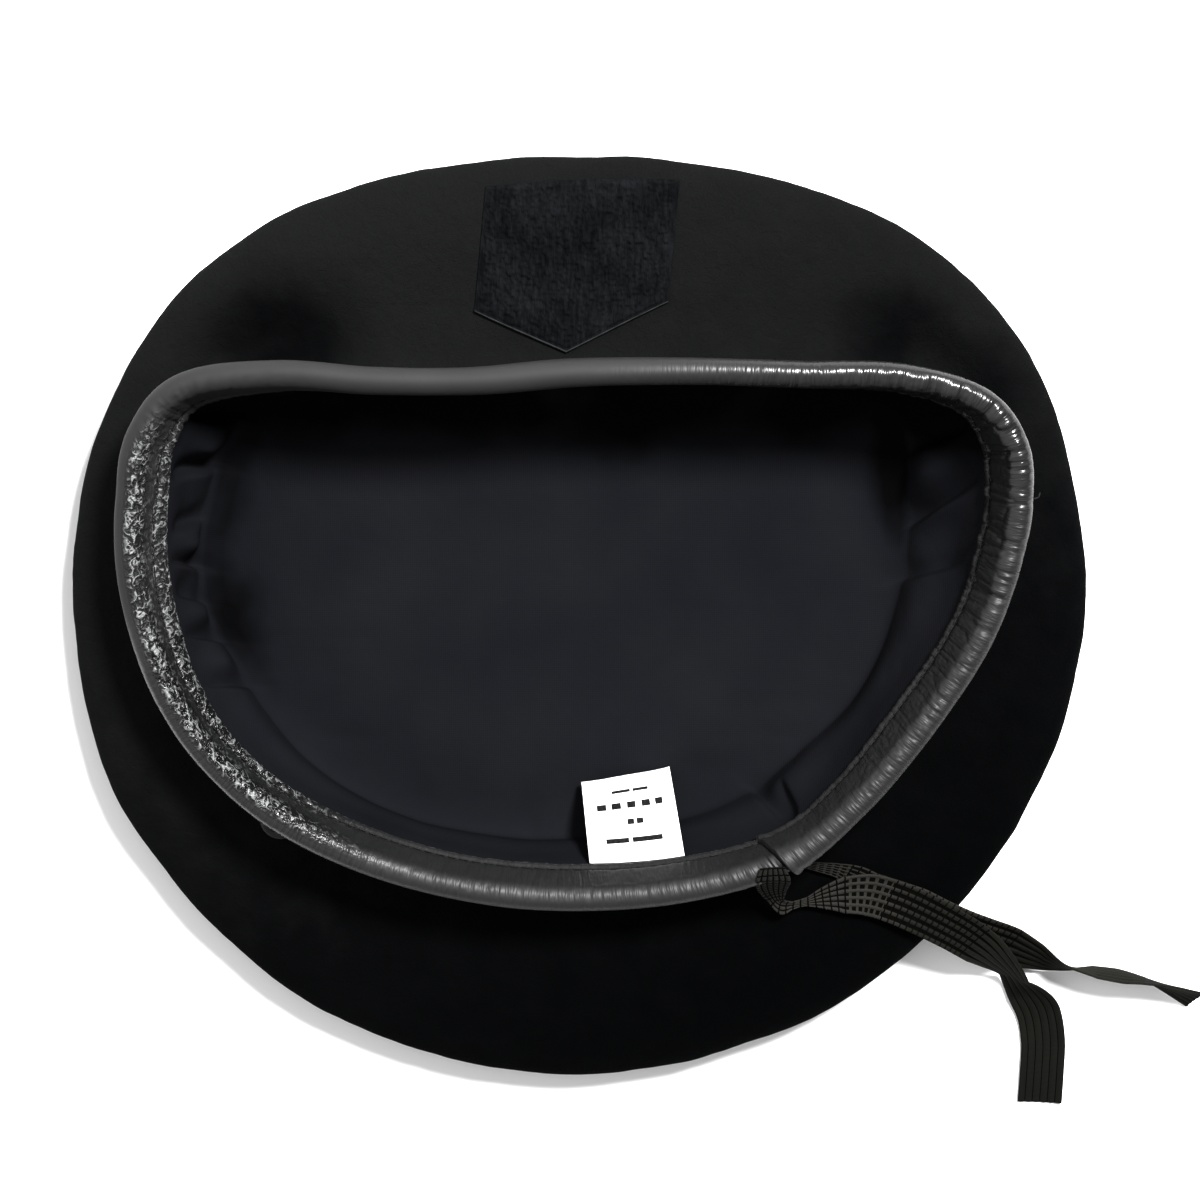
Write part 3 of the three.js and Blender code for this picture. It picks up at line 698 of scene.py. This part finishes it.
# ---- Wool crown
def wool_material():
    """Felt with painted light and shade: paler at the front left, deep black at the back right, and painted
    shade in the hollows by the front corners.
    """
    s = Shader("felted_wool", (0.008, 0.0082, 0.0086), 0.95, Specular_IOR_Level=0.03)
    s.shader.inputs["Sheen Weight"].default_value = 0.008
    s.shader.inputs["Sheen Roughness"].default_value = 0.5
    s.shader.inputs["Sheen Tint"].default_value = (0.9, 0.95, 1.0, 1)
    # Painted light and shade: the colour is lighter towards the front left, darker towards the back right,
    # and darker in the hollows by the front corners.
    painted_shade = s.towards(s.place, (-0.45, 0.89, 0))
    for centre, inner, outer, darker in (
        ((0.078, -0.077, 0.032), 0.006, 0.034, 0.17),
        ((-0.081, -0.081, 0.034), 0.003, 0.024, 0.14),
        ((-0.106, -0.066, 0.032), 0.003, 0.022, 0.06),
    ):
        painted_shade = s.math("MULTIPLY_ADD", s.near(centre, inner, outer), darker, painted_shade)
    s.color(s.unsettled(painted_shade, -0.11, 0.11, s.noise(0.010, 7), 0.09), [
        (0.0, (0.0125, 0.0127, 0.0128)),
        (0.35, (0.0095, 0.0097, 0.0100)),
        (0.7, (0.0029, 0.0031, 0.0035)),
        (1.0, (0.0012, 0.0014, 0.0017)),
    ])
    s.bump(s.noise(0.0035, 4, distortion=0.6), 0.0007, 0.8)
    s.bump(s.noise(0.0007, 4, distortion=1.5), 0.0005, 0.8)
    return s.material


# Unevenness of the felt: depth, size and seed of each noise
FELT_RELIEF = ((1.0, 38, 11), (0.45, 15, 12), (0.14, 5, 13), (0.07, 2.4, 14))


def wool_relief(points, turn, stage):
    fade = np.clip((stage - 1.0) * 3, 0, 1) * np.clip((3.0 - stage) * 8, 0, 1)
    return sum(depth * noise(points, size, seed) for depth, size, seed in FELT_RELIEF) * fade


def make_crown():
    fine = np.concatenate([
        [0.3, 0.6, 0.85],
        np.linspace(1, 2, 22)[:-1],
        np.linspace(2, 3, 60)[:-1],
        np.linspace(3, 4, 5),
    ])
    coarse = np.concatenate([[0.3, 0.7], np.linspace(1, 2, 6)[:-1], np.linspace(2, 4, 14)])
    turns = np.arange(0, 360, 0.5)
    made = shell("wool_crown", wool_face, wool_relief, turns, fine, coarse, FELT, False, wool_material())
    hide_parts("crown")


make_crown()

# ---- Lining
def lining_material():
    """Navy cloth with painted shade under the front wall and along the foot of the side walls."""
    s = Shader("lining_cloth", (0.013, 0.0136, 0.0164), 0.8, Specular_IOR_Level=0.06)
    place = s.place
    # Painted shade: the foot of the side walls and the floor under the front wall are coloured darker.
    foot = s.scaled(s.towards(s.lengths(), (0, 1, 0)), 0.00078, 0.00118)
    foot = s.ramp(foot, [(0.0, (0, 0, 0)), (0.48, (1, 1, 1)), (0.68, (0.9, 0.9, 0.9)), (1.0, (0, 0, 0))])
    left = s.scaled(s.towards(place, (1, 0, 0)), 0.066, 0.090, smooth=True)
    left = s.math("MULTIPLY", left, s.scaled(s.towards(place, (0, -1, 0)), -0.030, 0.004, smooth=True))
    right = s.scaled(s.towards(place, (-0.9, -0.6, 0)), 0.075, 0.092, smooth=True)
    front = s.scaled(s.towards(place, (0, -1, 0)), 0.036, 0.058, smooth=True)
    shade = s.math("MAXIMUM", s.math("MULTIPLY", foot, s.math("MAXIMUM", left, right)), front)
    s.color(s.math("MULTIPLY_ADD", shade, -0.5, s.noise(0.035, 3)), [
        (0.0, (0.0014, 0.0015, 0.0019)), (0.3, (0.0105, 0.0111, 0.0140)), (0.7, (0.0142, 0.0147, 0.0175)),
    ])
    s.bump(s.wave(0.0005, place, "X", 0.6), 0.00004, 0.5)
    s.bump(s.wave(0.0005, place, "Y", 0.6), 0.00004, 0.5)
    s.bump(s.noise(0.014, 3), 0.0010, 0.4)
    return s.material


def lining_relief(points, turn, stage):
    up = stage - 1
    depth = dent_depth(LINING_FOLDS, turn, up) + crease_depth(turn, up)
    depth = depth + 1.6 * np.exp(-((up - 0.38) / 0.22) ** 2)
    floor = np.clip((stage - 0.2) * 2, 0, 1) * np.clip((2 - stage) * 2, 0, 1)
    soft = np.abs(0.7 * noise(points, 30, 21)) + 0.22 * np.abs(noise(points, 9, 22))
    return -(depth + soft * floor) * np.clip((2.0 - stage) * 6, 0, 1)


def make_lining():
    fine = np.concatenate([
        np.linspace(0.08, 0.7, 10)[:-1],
        np.linspace(0.7, 1, 12)[:-1],
        np.linspace(1, 2, 52)[:-1],
        np.linspace(2, 3, 5),
    ])
    coarse = np.concatenate([
        np.linspace(0.08, 1, 8)[:-1],
        np.linspace(1, 2, 14)[:-1],
        np.linspace(2, 3, 3),
    ])
    turns = np.arange(0, 360, 0.4)
    cloth = lining_material()
    made = shell("lining_cloth", rounded_lining, lining_relief, turns, fine, coarse, LINING, True, cloth)
    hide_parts("lining")


make_lining()


# ---- Leather binding: the degrees by which its lap slants, the fine sections at the joint, the
# stitched groove, and parts that are creased in their own way, each a bell's turn, spread and power
LAP_OUT, LAP_IN = 3.0, 1.5
JOINT_REACH, JOINT_SECTIONS, OTHER_SECTIONS = 1.2, 33, 1216
GROOVE_DEPTH, GROOVE_WIDTH, GROOVE_DOWN, GROOVE_RISE = 0.9, 1.25, 10.2, 4.0
GROOVE_HIGH = (2, 42, 2)
RIGHT, LEFT, BACK, FRONT = (195, 32, 2), (0, 50, 4), (85, 45, 4), (277, 36, 4)
RIGHT_CORNER, LEFT_CORNER = (222, 12, 2), (318, 12, 2)


def leather_material():
    """Leather that is smooth outside and at the front left, crinkled over the inner half of the roll
    at the left with painted highlights on the crinkles and painted shade in their valleys, and finely
    striped across elsewhere."""
    s = Shader("leather", (0.024, 0.0243, 0.024), 0.3, Specular_IOR_Level=0.5)
    lengths = s.lengths()
    across = s.towards(s.place, (-0.5, 1, 0))
    lively = s.scaled(across, -0.080, -0.040, smooth=True)
    dull = s.scaled(across, 0.0, 0.045, smooth=True)
    dull = s.math("MULTIPLY_ADD", dull, 0.55, s.math("SUBTRACT", 1.0, lively))
    s.roughness(s.math("MULTIPLY_ADD", s.noise(0.004, 3), 0.2, dull), 0.19, 0.70)
    over = s.towards(lengths, (0, 1, 0))
    band = s.ramp(s.scaled(over, 0.0, 0.018), [
        (0.03, (0, 0, 0)), (0.12, (1, 1, 1)), (0.34, (1, 1, 1)), (0.46, (0.25, 0.25, 0.25)),
        (0.58, (0.2, 0.2, 0.2)), (0.72, (0.8, 0.8, 0.8)),
    ])
    left = s.scaled(s.towards(s.place, (1, -0.25, 0)), 0.030, 0.085, smooth=True)
    left = s.math("MULTIPLY", left, s.scaled(s.towards(s.place, (0, 1, 0)), -0.066, -0.048, smooth=True))
    mask = s.math("MULTIPLY", band, left)
    crinkle = s.noise(0.0018, 2, lengths, 1.3)
    s.bump(s.math("MULTIPLY", crinkle, mask), 0.0017, 1.0)
    stripes = s.noise(0.0010, 2, s.stretched(lengths, (1, 0.16, 1)))
    s.bump(s.math("MULTIPLY", stripes, lively), 0.0005, 0.9)
    # Painted highlights on the crinkles at the left and painted shade in their valleys, and a pale cut edge
    # at the back
    painted_crinkle_light = s.math("SUBTRACT", s.scaled(crinkle, 0.42, 0.64), 0.3)
    shade = s.math("MULTIPLY_ADD", painted_crinkle_light, mask, s.math("MULTIPLY_ADD", s.noise(0.012, 3), 0.2, 0.27))
    behind = s.scaled(s.towards(s.place, (0.5, 1, 0)), 0.0, 0.04, smooth=True)
    edge = s.math("MULTIPLY", s.scaled(over, 0.0172, 0.0180), behind)
    shade = s.math("MULTIPLY_ADD", edge, s.scaled(s.noise(0.0016, 3, lengths), 0.35, 1.0), shade)
    s.color(shade, [
        (0.0, (0.008, 0.0082, 0.0084)), (0.30, (0.018, 0.0183, 0.018)),
        (0.45, (0.025, 0.0254, 0.025)), (1.0, (0.24, 0.243, 0.243)),
    ])
    return s.material


def binding_section():
    """The leather's section, outwards and up from the middle of the roll, with the length over it."""
    foot = -BINDING_HEIGHT
    arc = np.linspace(0, np.pi, 27)
    outer_y = np.linspace(foot, 0, 12)[:-1]
    outer_x = np.interp(outer_y, [foot, foot + 0.8, -6, 0], [2.75, 3.15, 3.4, 3.5])
    inner_y = np.linspace(0, foot, 28)[1:]
    inner_x = np.interp(inner_y, [foot, -12.2, -11, 0], [2.6, 3.2, 3.4, 3.5])
    rear = [(-SLOT / 2, foot), (-SLOT / 2, foot / 2), (-SLOT / 2, CLEARANCE),
            (SLOT / 2, CLEARANCE), (SLOT / 2, foot / 2), (SLOT / 2, foot)]
    seen = np.concatenate([
        np.stack([outer_x, outer_y], -1),
        ROLL * np.stack([np.cos(arc), np.sin(arc)], -1),
        np.stack([-inner_x, inner_y], -1),
    ])
    section = np.concatenate([seen, rear])
    length = np.concatenate([[0], np.cumsum(np.linalg.norm(np.diff(section, axis=0), axis=1))])
    top = length[len(outer_y) + len(arc) // 2]
    return section, length - top, len(seen)


def groove_height(turn):
    """The height of the stitched groove, from the middle of the roll."""
    return -GROOVE_DOWN + GROOVE_RISE * bell(turn, *GROOVE_HIGH)


def make_binding():
    section, over, seen = binding_section()
    near = JOINT_TURN + np.linspace(-JOINT_REACH, JOINT_REACH, JOINT_SECTIONS)
    far = np.linspace(JOINT_TURN + JOINT_REACH, JOINT_TURN + 360 - JOINT_REACH, OTHER_SECTIONS)
    turns = np.concatenate([near, far[1:-1]])
    from_joint = np.mod(turns - JOINT_TURN + 180, 360) - 180
    rim = opening_point(RIM, turns)
    steps = np.linalg.norm(np.diff(rim, axis=0, append=rim[:1]), axis=1)
    s = np.concatenate([[0], np.cumsum(steps)[:-1]])
    inward = np.clip((over + ROLL * 2) / (2 * BINDING_HEIGHT), 0, 1)
    skew = (LAP_OUT - (LAP_OUT + LAP_IN) * inward)[:, None] * np.exp(-np.abs(from_joint) / 10)[None, :]
    turn = turns[None, :] + skew
    middle, travel, across, along = rim_frame(turn)

    tangent = np.gradient(section, axis=0)
    facing = unit(np.stack([tangent[:, 1], -tangent[:, 0]], -1))
    place = np.stack(np.broadcast_arrays(s[None, :], over[:, None], 0.0), -1)
    shown = (np.arange(len(section)) < seen)[:, None]
    right, left, back = (bell(turns, *part) for part in (RIGHT, LEFT, BACK))
    crest = np.clip((over[:, None] + 1.5 + (2.5 * right - 2.2 * left)[None, :]) / 3, 0, 1)
    corners = bell(turns, *RIGHT_CORNER) + 0.8 * bell(turns, *LEFT_CORNER)
    smooth = 1 - 0.92 * bell(turns, *FRONT)
    fine = 0.20 * crinkle(place * (1.0, 0.6, 1), 1.25, 31, 2)
    fine = fine + 0.10 * noise(place * (1.0, 0.7, 1), 0.9, 32)
    creases = crinkle(place * (1.0, 0.22, 1), 2.4, 33, 3)
    long_creases = crinkle(place * (1.0, 0.12, 1), 4.5, 34, 5)
    depth = (fine * smooth * (1 - 0.7 * back - 0.6 * right)
             + creases * (0.18 + 0.35 * right + 0.30 * corners) * smooth
             + long_creases * (0.10 + 0.55 * right + 0.6 * corners) * smooth)
    depth = depth * (0.12 + 0.88 * crest)
    depth += 0.16 * noise(place * (1, 0.5, 1), 22, 35)
    inside = (section[:, 0] < 0)[:, None]
    groove = np.exp(-((section[:, 1:] - groove_height(turns)) / GROOVE_WIDTH) ** 2)
    depth -= GROOVE_DEPTH * groove * inside
    flare = (0.8 + 0.9 * (1 - inward))[:, None]
    lap = np.where(from_joint >= 0, np.exp(-np.maximum(from_joint, 0) / 5), 0)[None, :] * flare
    lap = lap - 0.75 * np.exp(-((from_joint + 0.12) / 0.18) ** 2)[None, :]
    gather = 0.2 * np.exp(-np.abs(from_joint) / 4) * np.sin(from_joint * 2.6)
    depth = (depth + lap + gather[None, :]) * shown
    depth[0] *= 0
    depth[seen - 1] *= 0.3
    offset = section[:, None, :] + facing[:, None, :] * depth[..., None]
    points = middle + across * offset[..., :1] + along * offset[..., 1:]
    closed = np.concatenate([points, points[:1]])
    faces = grid_faces(len(closed), len(turns), True)
    faces = np.where(faces >= len(section) * len(turns), faces - len(section) * len(turns), faces)
    lengths = np.stack(np.broadcast_arrays(s[None, :], over[:, None]), -1).reshape(-1, 2)
    made = piece("leather_binding", points.reshape(-1, 3), faces, leather_material(), uv=lengths)
    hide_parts("binding")


make_binding()


def rods(ends, radius, sides=6):
    """Short round-ended rods between pairs of points, as points and faces."""
    start, stop = ends[:, 0], ends[:, 1]
    length = np.linalg.norm(stop - start, axis=1)[:, None]
    ahead = (stop - start) / length
    aside = unit(np.cross(ahead, UP + 0.01))
    above = np.cross(ahead, aside)
    places = np.array([0, 0.06, 0.25, 0.75, 0.94, 1.0])
    sizes = np.array([0.35, 0.8, 1, 1, 0.8, 0.35]) * radius
    angles = np.linspace(0, 2 * np.pi, sides, endpoint=False)
    ring = (aside[:, None, None] * np.cos(angles)[None, None, :, None]
            + above[:, None, None] * np.sin(angles)[None, None, :, None])
    run = places[None, :, None, None] * length[:, None, None]
    points = start[:, None, None] + ahead[:, None, None] * run + ring * sizes[None, :, None, None]
    one = grid_faces(len(places), sides, True)
    caps = [list(range(sides)), [(len(places) - 1) * sides + k for k in range(sides)][::-1]]
    faces = []
    for n in range(len(ends)):
        base = n * len(places) * sides
        faces += (one + base).tolist() + [[base + k for k in cap] for cap in caps]
    return points.reshape(-1, 3), faces


# The stitches: degrees from one to the next, the share of that which shows, their radius, and how
# far in from the middle of the roll they lie. Then the turn of the loose end.
STITCH_PITCH, STITCH_SHOWN, STITCH_RADIUS, STITCH_IN = 1.75, 0.7, 0.2, 2.75
LOOSE_END_TURN = 207.0


def make_stitches():
    """The thread in the binding's groove, with one short loose end of it at the right."""
    s = Shader("thread", (0.022, 0.022, 0.022), 0.7, Specular_IOR_Level=0.3)
    s.color(s.noise(0.001, 2), [(0.3, (0.017, 0.017, 0.017)), (0.7, (0.027, 0.027, 0.027))])
    s.bump(s.wave(0.0002, s.place, "DIAGONAL"), 0.00005)
    starts = JOINT_TURN + 3 + np.arange(0, 354, STITCH_PITCH)
    a, b = (
        middle - across * STITCH_IN + along * groove_height(turns)[:, None]
        for turns in (starts, starts + STITCH_PITCH * STITCH_SHOWN)
        for middle, _, across, along in (rim_frame(turns),)
    )
    middle, _, across, along = rim_frame(np.array([LOOSE_END_TURN]))
    start = middle + across * 3.45 + along * 0.6
    bend = start + across * 1.3 + along * 0.9 + (0, -0.5, 0)
    end = bend + across * 0.5 + (0, -1.3, 0)
    a, b = np.concatenate([a, start, bend]), np.concatenate([b, bend, end])
    points, faces = rods(np.stack([a, b], 1), STITCH_RADIUS)
    made = piece("binding_stitches", points, faces, s.material)


make_stitches()

# ---- Pile panel
PANEL_WIDTH, PANEL_LENGTH, PANEL_POINT, PANEL_THICKNESS, PANEL_DROP = 49.5, 44.5, 13.0, 1.5, 4.0
PANEL_ASIDE, PANEL_ASKEW = 3.4, 4.2
PANEL_ROWS, PANEL_COLUMNS = 201, 169


def pile_material():
    """Brushed pile, in streaks that run from the front to the binding."""
    s = Shader("loop_pile", (0.0075, 0.0082, 0.0092), 0.9, Specular_IOR_Level=0.05)
    s.shader.inputs["Sheen Weight"].default_value = 0.01
    s.shader.inputs["Sheen Tint"].default_value = (0.8, 0.9, 1.0, 1)
    streaks = s.stretched(s.place, (1, 0.22, 0.3))
    patches = s.math("MULTIPLY_ADD", s.noise(0.012, 2), 0.8, s.noise(0.0009, 3, streaks))
    s.color(s.scaled(patches, 0.55, 1.25), [
        (0.1, (0.0028, 0.0031, 0.0036)), (0.9, (0.0125, 0.0138, 0.0152)),
    ])
    s.bump(s.noise(0.0005, 4, streaks, 1.0), 0.0005)
    return s.material


def pile_edge_material():
    s = Shader("pile_edge", (0.03, 0.031, 0.032), 0.7, Specular_IOR_Level=0.3)
    s.color(s.noise(0.003, 3), [(0.35, (0.006, 0.0065, 0.007)), (0.65, (0.020, 0.021, 0.022))])
    s.bump(s.noise(0.0005, 2), 0.0001)
    return s.material


def wall_places(side, distance):
    """The turns and stages of the front wall at places across it and lengths from the binding."""
    turns = np.linspace(240, 300, 241)
    stages = np.linspace(3, 2, 201)
    grid = wool_face(turns[:, None], stages[None, :])
    run = np.cumsum(np.linalg.norm(np.diff(grid, axis=1), axis=2), axis=1)
    run = np.concatenate([np.zeros((len(turns), 1)), run], axis=1)
    turn = np.empty_like(side)
    stage = np.empty_like(side)
    for n in np.ndindex(side.shape):
        at = np.array([np.interp(distance[n], run[k], stages) for k in range(0, len(turns), 8)])
        x = wool_face(turns[::8], at)[:, 0]
        turn[n] = np.interp(side[n], x, turns[::8])
        stage[n] = np.interp(turn[n], turns[::8], at)
    return turn, stage


def resampled(grid, rows, columns):
    """A coarse grid of values at finer, evenly spaced places."""
    i = np.linspace(0, grid.shape[0] - 1, rows)
    j = np.linspace(0, grid.shape[1] - 1, columns)
    across = np.stack([np.interp(j, np.arange(grid.shape[1]), row) for row in grid])
    return np.stack([np.interp(i, np.arange(grid.shape[0]), across[:, k]) for k in range(columns)], 1)


def make_panel():
    side = np.linspace(-1, 1, 25)
    share = np.linspace(0, 1, 19)
    near = PANEL_DROP + PANEL_POINT * np.abs(side)
    distance = near[:, None] + (PANEL_DROP + PANEL_LENGTH - near)[:, None] * share[None, :]
    aside = PANEL_ASIDE - PANEL_ASKEW * (distance - PANEL_DROP) / PANEL_LENGTH
    turn, stage = wall_places((side * PANEL_WIDTH / 2)[:, None] + aside, distance)
    rows, columns = PANEL_ROWS, PANEL_COLUMNS
    turn, stage = resampled(turn, rows, columns), resampled(stage, rows, columns)
    base = wool_face(turn, stage)
    relief = wool_relief(base, turn, stage)
    normal = face_normal(wool_face, turn, stage)
    base = base + normal * np.maximum(relief, -0.1)[..., None]
    i = np.minimum(np.arange(rows), np.arange(rows)[::-1])[:, None] * PANEL_WIDTH / rows
    j = np.minimum(np.arange(columns), np.arange(columns)[::-1])[None, :] * PANEL_LENGTH / columns
    inset = np.minimum(i, j)
    rise = np.clip((inset - 0.2 - 0.5 * np.abs(noise(base, 2.5, 43))) / 1.3, 0, 1)
    loops = 0.45 * np.abs(noise(base, 1.3, 41)) + 0.4 * noise(base, 0.75, 42)
    height = 0.15 + (PANEL_THICKNESS * 0.5 + loops) * rise
    height[:, :4] = 0.75
    front = base + normal * (CLEARANCE + np.maximum(height, 0.1))[..., None]
    rear = base + normal * CLEARANCE
    points, faces = slab(front, rear)
    made = piece("pile_patch", points, faces, pile_material())
    edge = np.zeros((rows - 1, columns - 1), np.int32)
    edge[:, :2] = 1
    paint(made, pile_edge_material(), edge)
    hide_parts("pile_panel")


make_panel()

# ---- Label
LABEL_WIDTH, LABEL_LENGTH, LABEL_THICKNESS, LABEL_TURN, LABEL_SLOPE = 26.0, 28.5, 0.5, 99.0, 52.0
# Plain bars in rows: the length down the label, their height, and their ends as shares across it
LABEL_MARKS = [
    (6.0, 1.5, [(-0.30, -0.06), (-0.02, 0.30)]),
    (11.8, 1.7, [(-0.05, 0.02), (0.05, 0.12)]),
    (17.2, 2.0, [(-0.36, -0.26), (-0.20, -0.10), (-0.03, 0.06), (0.13, 0.22), (0.28, 0.36)]),
    (22.6, 0.9, [(-0.18, 0.02), (0.05, 0.22)]),
]


def label_point(side, distance):
    """A point of the label, at a share across it and a length down from the binding."""
    side, distance = np.broadcast_arrays(side, distance)
    _, travel, _, _ = rim_frame(np.array(LABEL_TURN))
    out = np.array([travel[1], -travel[0], 0])
    slope = math.radians(LABEL_SLOPE)
    down = -out * math.cos(slope) - UP * math.sin(slope)
    here, next_ = (opening_point(RIM, np.array(turn)) for turn in (LABEL_TURN, LABEL_TURN + 1))
    degree = np.linalg.norm(next_ - here)
    middle, _, across, along = rim_frame(LABEL_TURN + side * LABEL_WIDTH / degree)
    sewn = middle - across * (SLOT + 1.2) / 2 - along * (BINDING_HEIGHT + CLEARANCE + LABEL_THICKNESS)
    facing = unit(np.cross(travel, down))
    facing = facing * np.sign(facing[2])
    share = distance / LABEL_LENGTH
    bow = 0.5 * np.sin(np.pi * share) + 0.25 * np.cos(2.2 * np.pi * side) * share
    aside = -1.3 * share - 1.2 * side * share
    turned = distance * (1 + 0.10 * side)
    return sewn + down * turned[..., None] + facing * bow[..., None] + travel * aside[..., None], facing


def make_label():
    s = Shader("woven_label", (0.82, 0.82, 0.81), 0.55, Specular_IOR_Level=0.4)
    s.color(s.noise(0.004, 2), [(0.3, (0.78, 0.78, 0.77)), (0.7, (0.86, 0.86, 0.85))])
    s.bump(s.wave(0.0003, s.place, "X"), 0.00004, 0.6)
    s.bump(s.wave(0.0003, s.place, "Z"), 0.00004, 0.6)
    side, distance = np.meshgrid(np.linspace(-0.5, 0.5, 61), np.linspace(0, LABEL_LENGTH, 65))
    front, facing = label_point(side, distance)
    points, faces = slab(front, front - facing * LABEL_THICKNESS * 0.8)
    made = piece("size_label", points, faces, s.material)
    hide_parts("label")

    ink = Shader("label_ink", (0.015, 0.015, 0.015), 0.8, Specular_IOR_Level=0.1)
    ink.color(ink.noise(0.0006, 2), [(0.3, (0.008, 0.008, 0.008)), (0.7, (0.03, 0.03, 0.03))])
    all_points, all_faces = [], []
    for down, tall, bars in LABEL_MARKS:
        for low, high in bars:
            u, v = np.meshgrid(np.linspace(low, high, 7), np.linspace(down, down + tall, 3))
            over, facing = label_point(u, v)
            points, faces = slab(over + facing * 0.07, over + facing * 0.015)
            all_faces.append(faces + sum(len(p) for p in all_points))
            all_points.append(points)
    points, faces = np.concatenate(all_points), np.concatenate(all_faces)
    made = piece("label_marks", points, faces, ink.material, smooth=False)


make_label()

# ---- Eyelet: the same ring, with a rounder roll
EYELET_OUTER, EYELET_INNER, EYELET_THICKNESS, EYELET_TURN, EYELET_DROP = 5.2, 2.5, 1.4, 46.0, 8.6


def make_eyelet():
    s = Shader("dark_metal", (0.01, 0.01, 0.011), 0.3, Metallic=0.2)
    s.roughness(s.noise(0.002, 3), 0.22, 0.42)
    s.bump(s.noise(0.0012, 2), 0.00005, 0.5)
    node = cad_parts["eyelet"]
    co = np.array([v.co for v in node.data.vertices]) / MM
    centre = co.mean(0)
    _, _, axes = np.linalg.svd(co - centre)
    normal = axes[2] * np.sign(axes[2][2])
    aside = axes[0]
    above = np.cross(normal, aside)
    height = (co - centre) @ normal
    seat = centre + normal * height.min()
    angles = np.linspace(0, 2 * np.pi, 72, endpoint=False)
    bend = np.linspace(0, np.pi, 13)
    middle, half = (EYELET_OUTER + EYELET_INNER) / 2, (EYELET_OUTER - EYELET_INNER) / 2
    radius = np.concatenate([middle + half * np.cos(bend), [EYELET_INNER]])
    rise = np.concatenate([EYELET_THICKNESS * (0.25 + 0.75 * np.sin(bend)), [0.0]])
    radius = np.concatenate([[EYELET_OUTER], radius])
    rise = np.concatenate([[0.0], rise])
    ring = aside * np.cos(angles)[:, None] + above * np.sin(angles)[:, None]
    points = seat + ring[None] * radius[:, None, None] + normal * rise[:, None, None]
    count = len(radius)
    faces = grid_faces(count + 1, len(angles), True)
    faces = np.where(faces >= count * len(angles), faces - count * len(angles), faces)
    made = piece("eyelet_ring", points.reshape(-1, 3), faces, s.material)
    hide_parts("eyelet")


make_eyelet()


# ---- Floor and light, in metres: the sky is brighter towards one side, and one lamp gives the shadow
FLOOR_REACH = 4.0
SKY_LEAN = (0.80, -0.45, 0.40)
SKY_STRENGTH = (("From Min", -0.8), ("From Max", 1.0), ("To Min", 0.05), ("To Max", 1.6))
KEY_AT, KEY_SIZE, KEY_WATTS = (-0.95, -1.6, 2.35), 0.6, 240.0
GAMMA = 0.75


def make_stage():
    s = Shader("pale_floor", (0.9, 0.9, 0.9), 0.9, Specular_IOR_Level=0.1)
    mesh = bpy.data.meshes.new("floor")
    reach = FLOOR_REACH
    corners = [(-reach, -reach, 0), (reach, -reach, 0), (reach, reach, 0), (-reach, reach, 0)]
    mesh.from_pydata(corners, [], [(0, 1, 2, 3)])
    mesh.materials.append(s.material)
    floor = bpy.data.objects.new("floor", mesh)
    bpy.context.scene.collection.objects.link(floor)

    world = bpy.data.worlds.new("studio")
    world.use_nodes = True
    nodes, links = world.node_tree.nodes, world.node_tree.links
    sky = nodes.new("ShaderNodeTexCoord")
    lean = nodes.new("ShaderNodeVectorMath")
    lean.operation = "DOT_PRODUCT"
    lean.inputs[1].default_value = SKY_LEAN
    links.new(sky.outputs["Generated"], lean.inputs[0])
    spread = nodes.new("ShaderNodeMapRange")
    for socket, value in SKY_STRENGTH:
        spread.inputs[socket].default_value = value
    links.new(lean.outputs["Value"], spread.inputs["Value"])
    links.new(spread.outputs["Result"], nodes["Background"].inputs["Strength"])
    nodes["Background"].inputs["Color"].default_value = (1, 1, 1, 1)
    bpy.context.scene.world = world

    data = bpy.data.lights.new("key", "AREA")
    data.shape = "DISK"
    data.size = KEY_SIZE
    data.energy = KEY_WATTS
    lamp = bpy.data.objects.new("key", data)
    bpy.context.scene.collection.objects.link(lamp)
    back = np.array(KEY_AT) / np.linalg.norm(KEY_AT)
    aside = unit(np.cross(UP, back))
    above = np.cross(back, aside)
    axes = Matrix(np.stack([aside, above, back], 1).tolist())
    lamp.matrix_world = Matrix.Translation(KEY_AT) @ axes.to_4x4()


make_stage()
bpy.context.scene.view_settings.view_transform = "Standard"
bpy.context.scene.view_settings.gamma = GAMMA
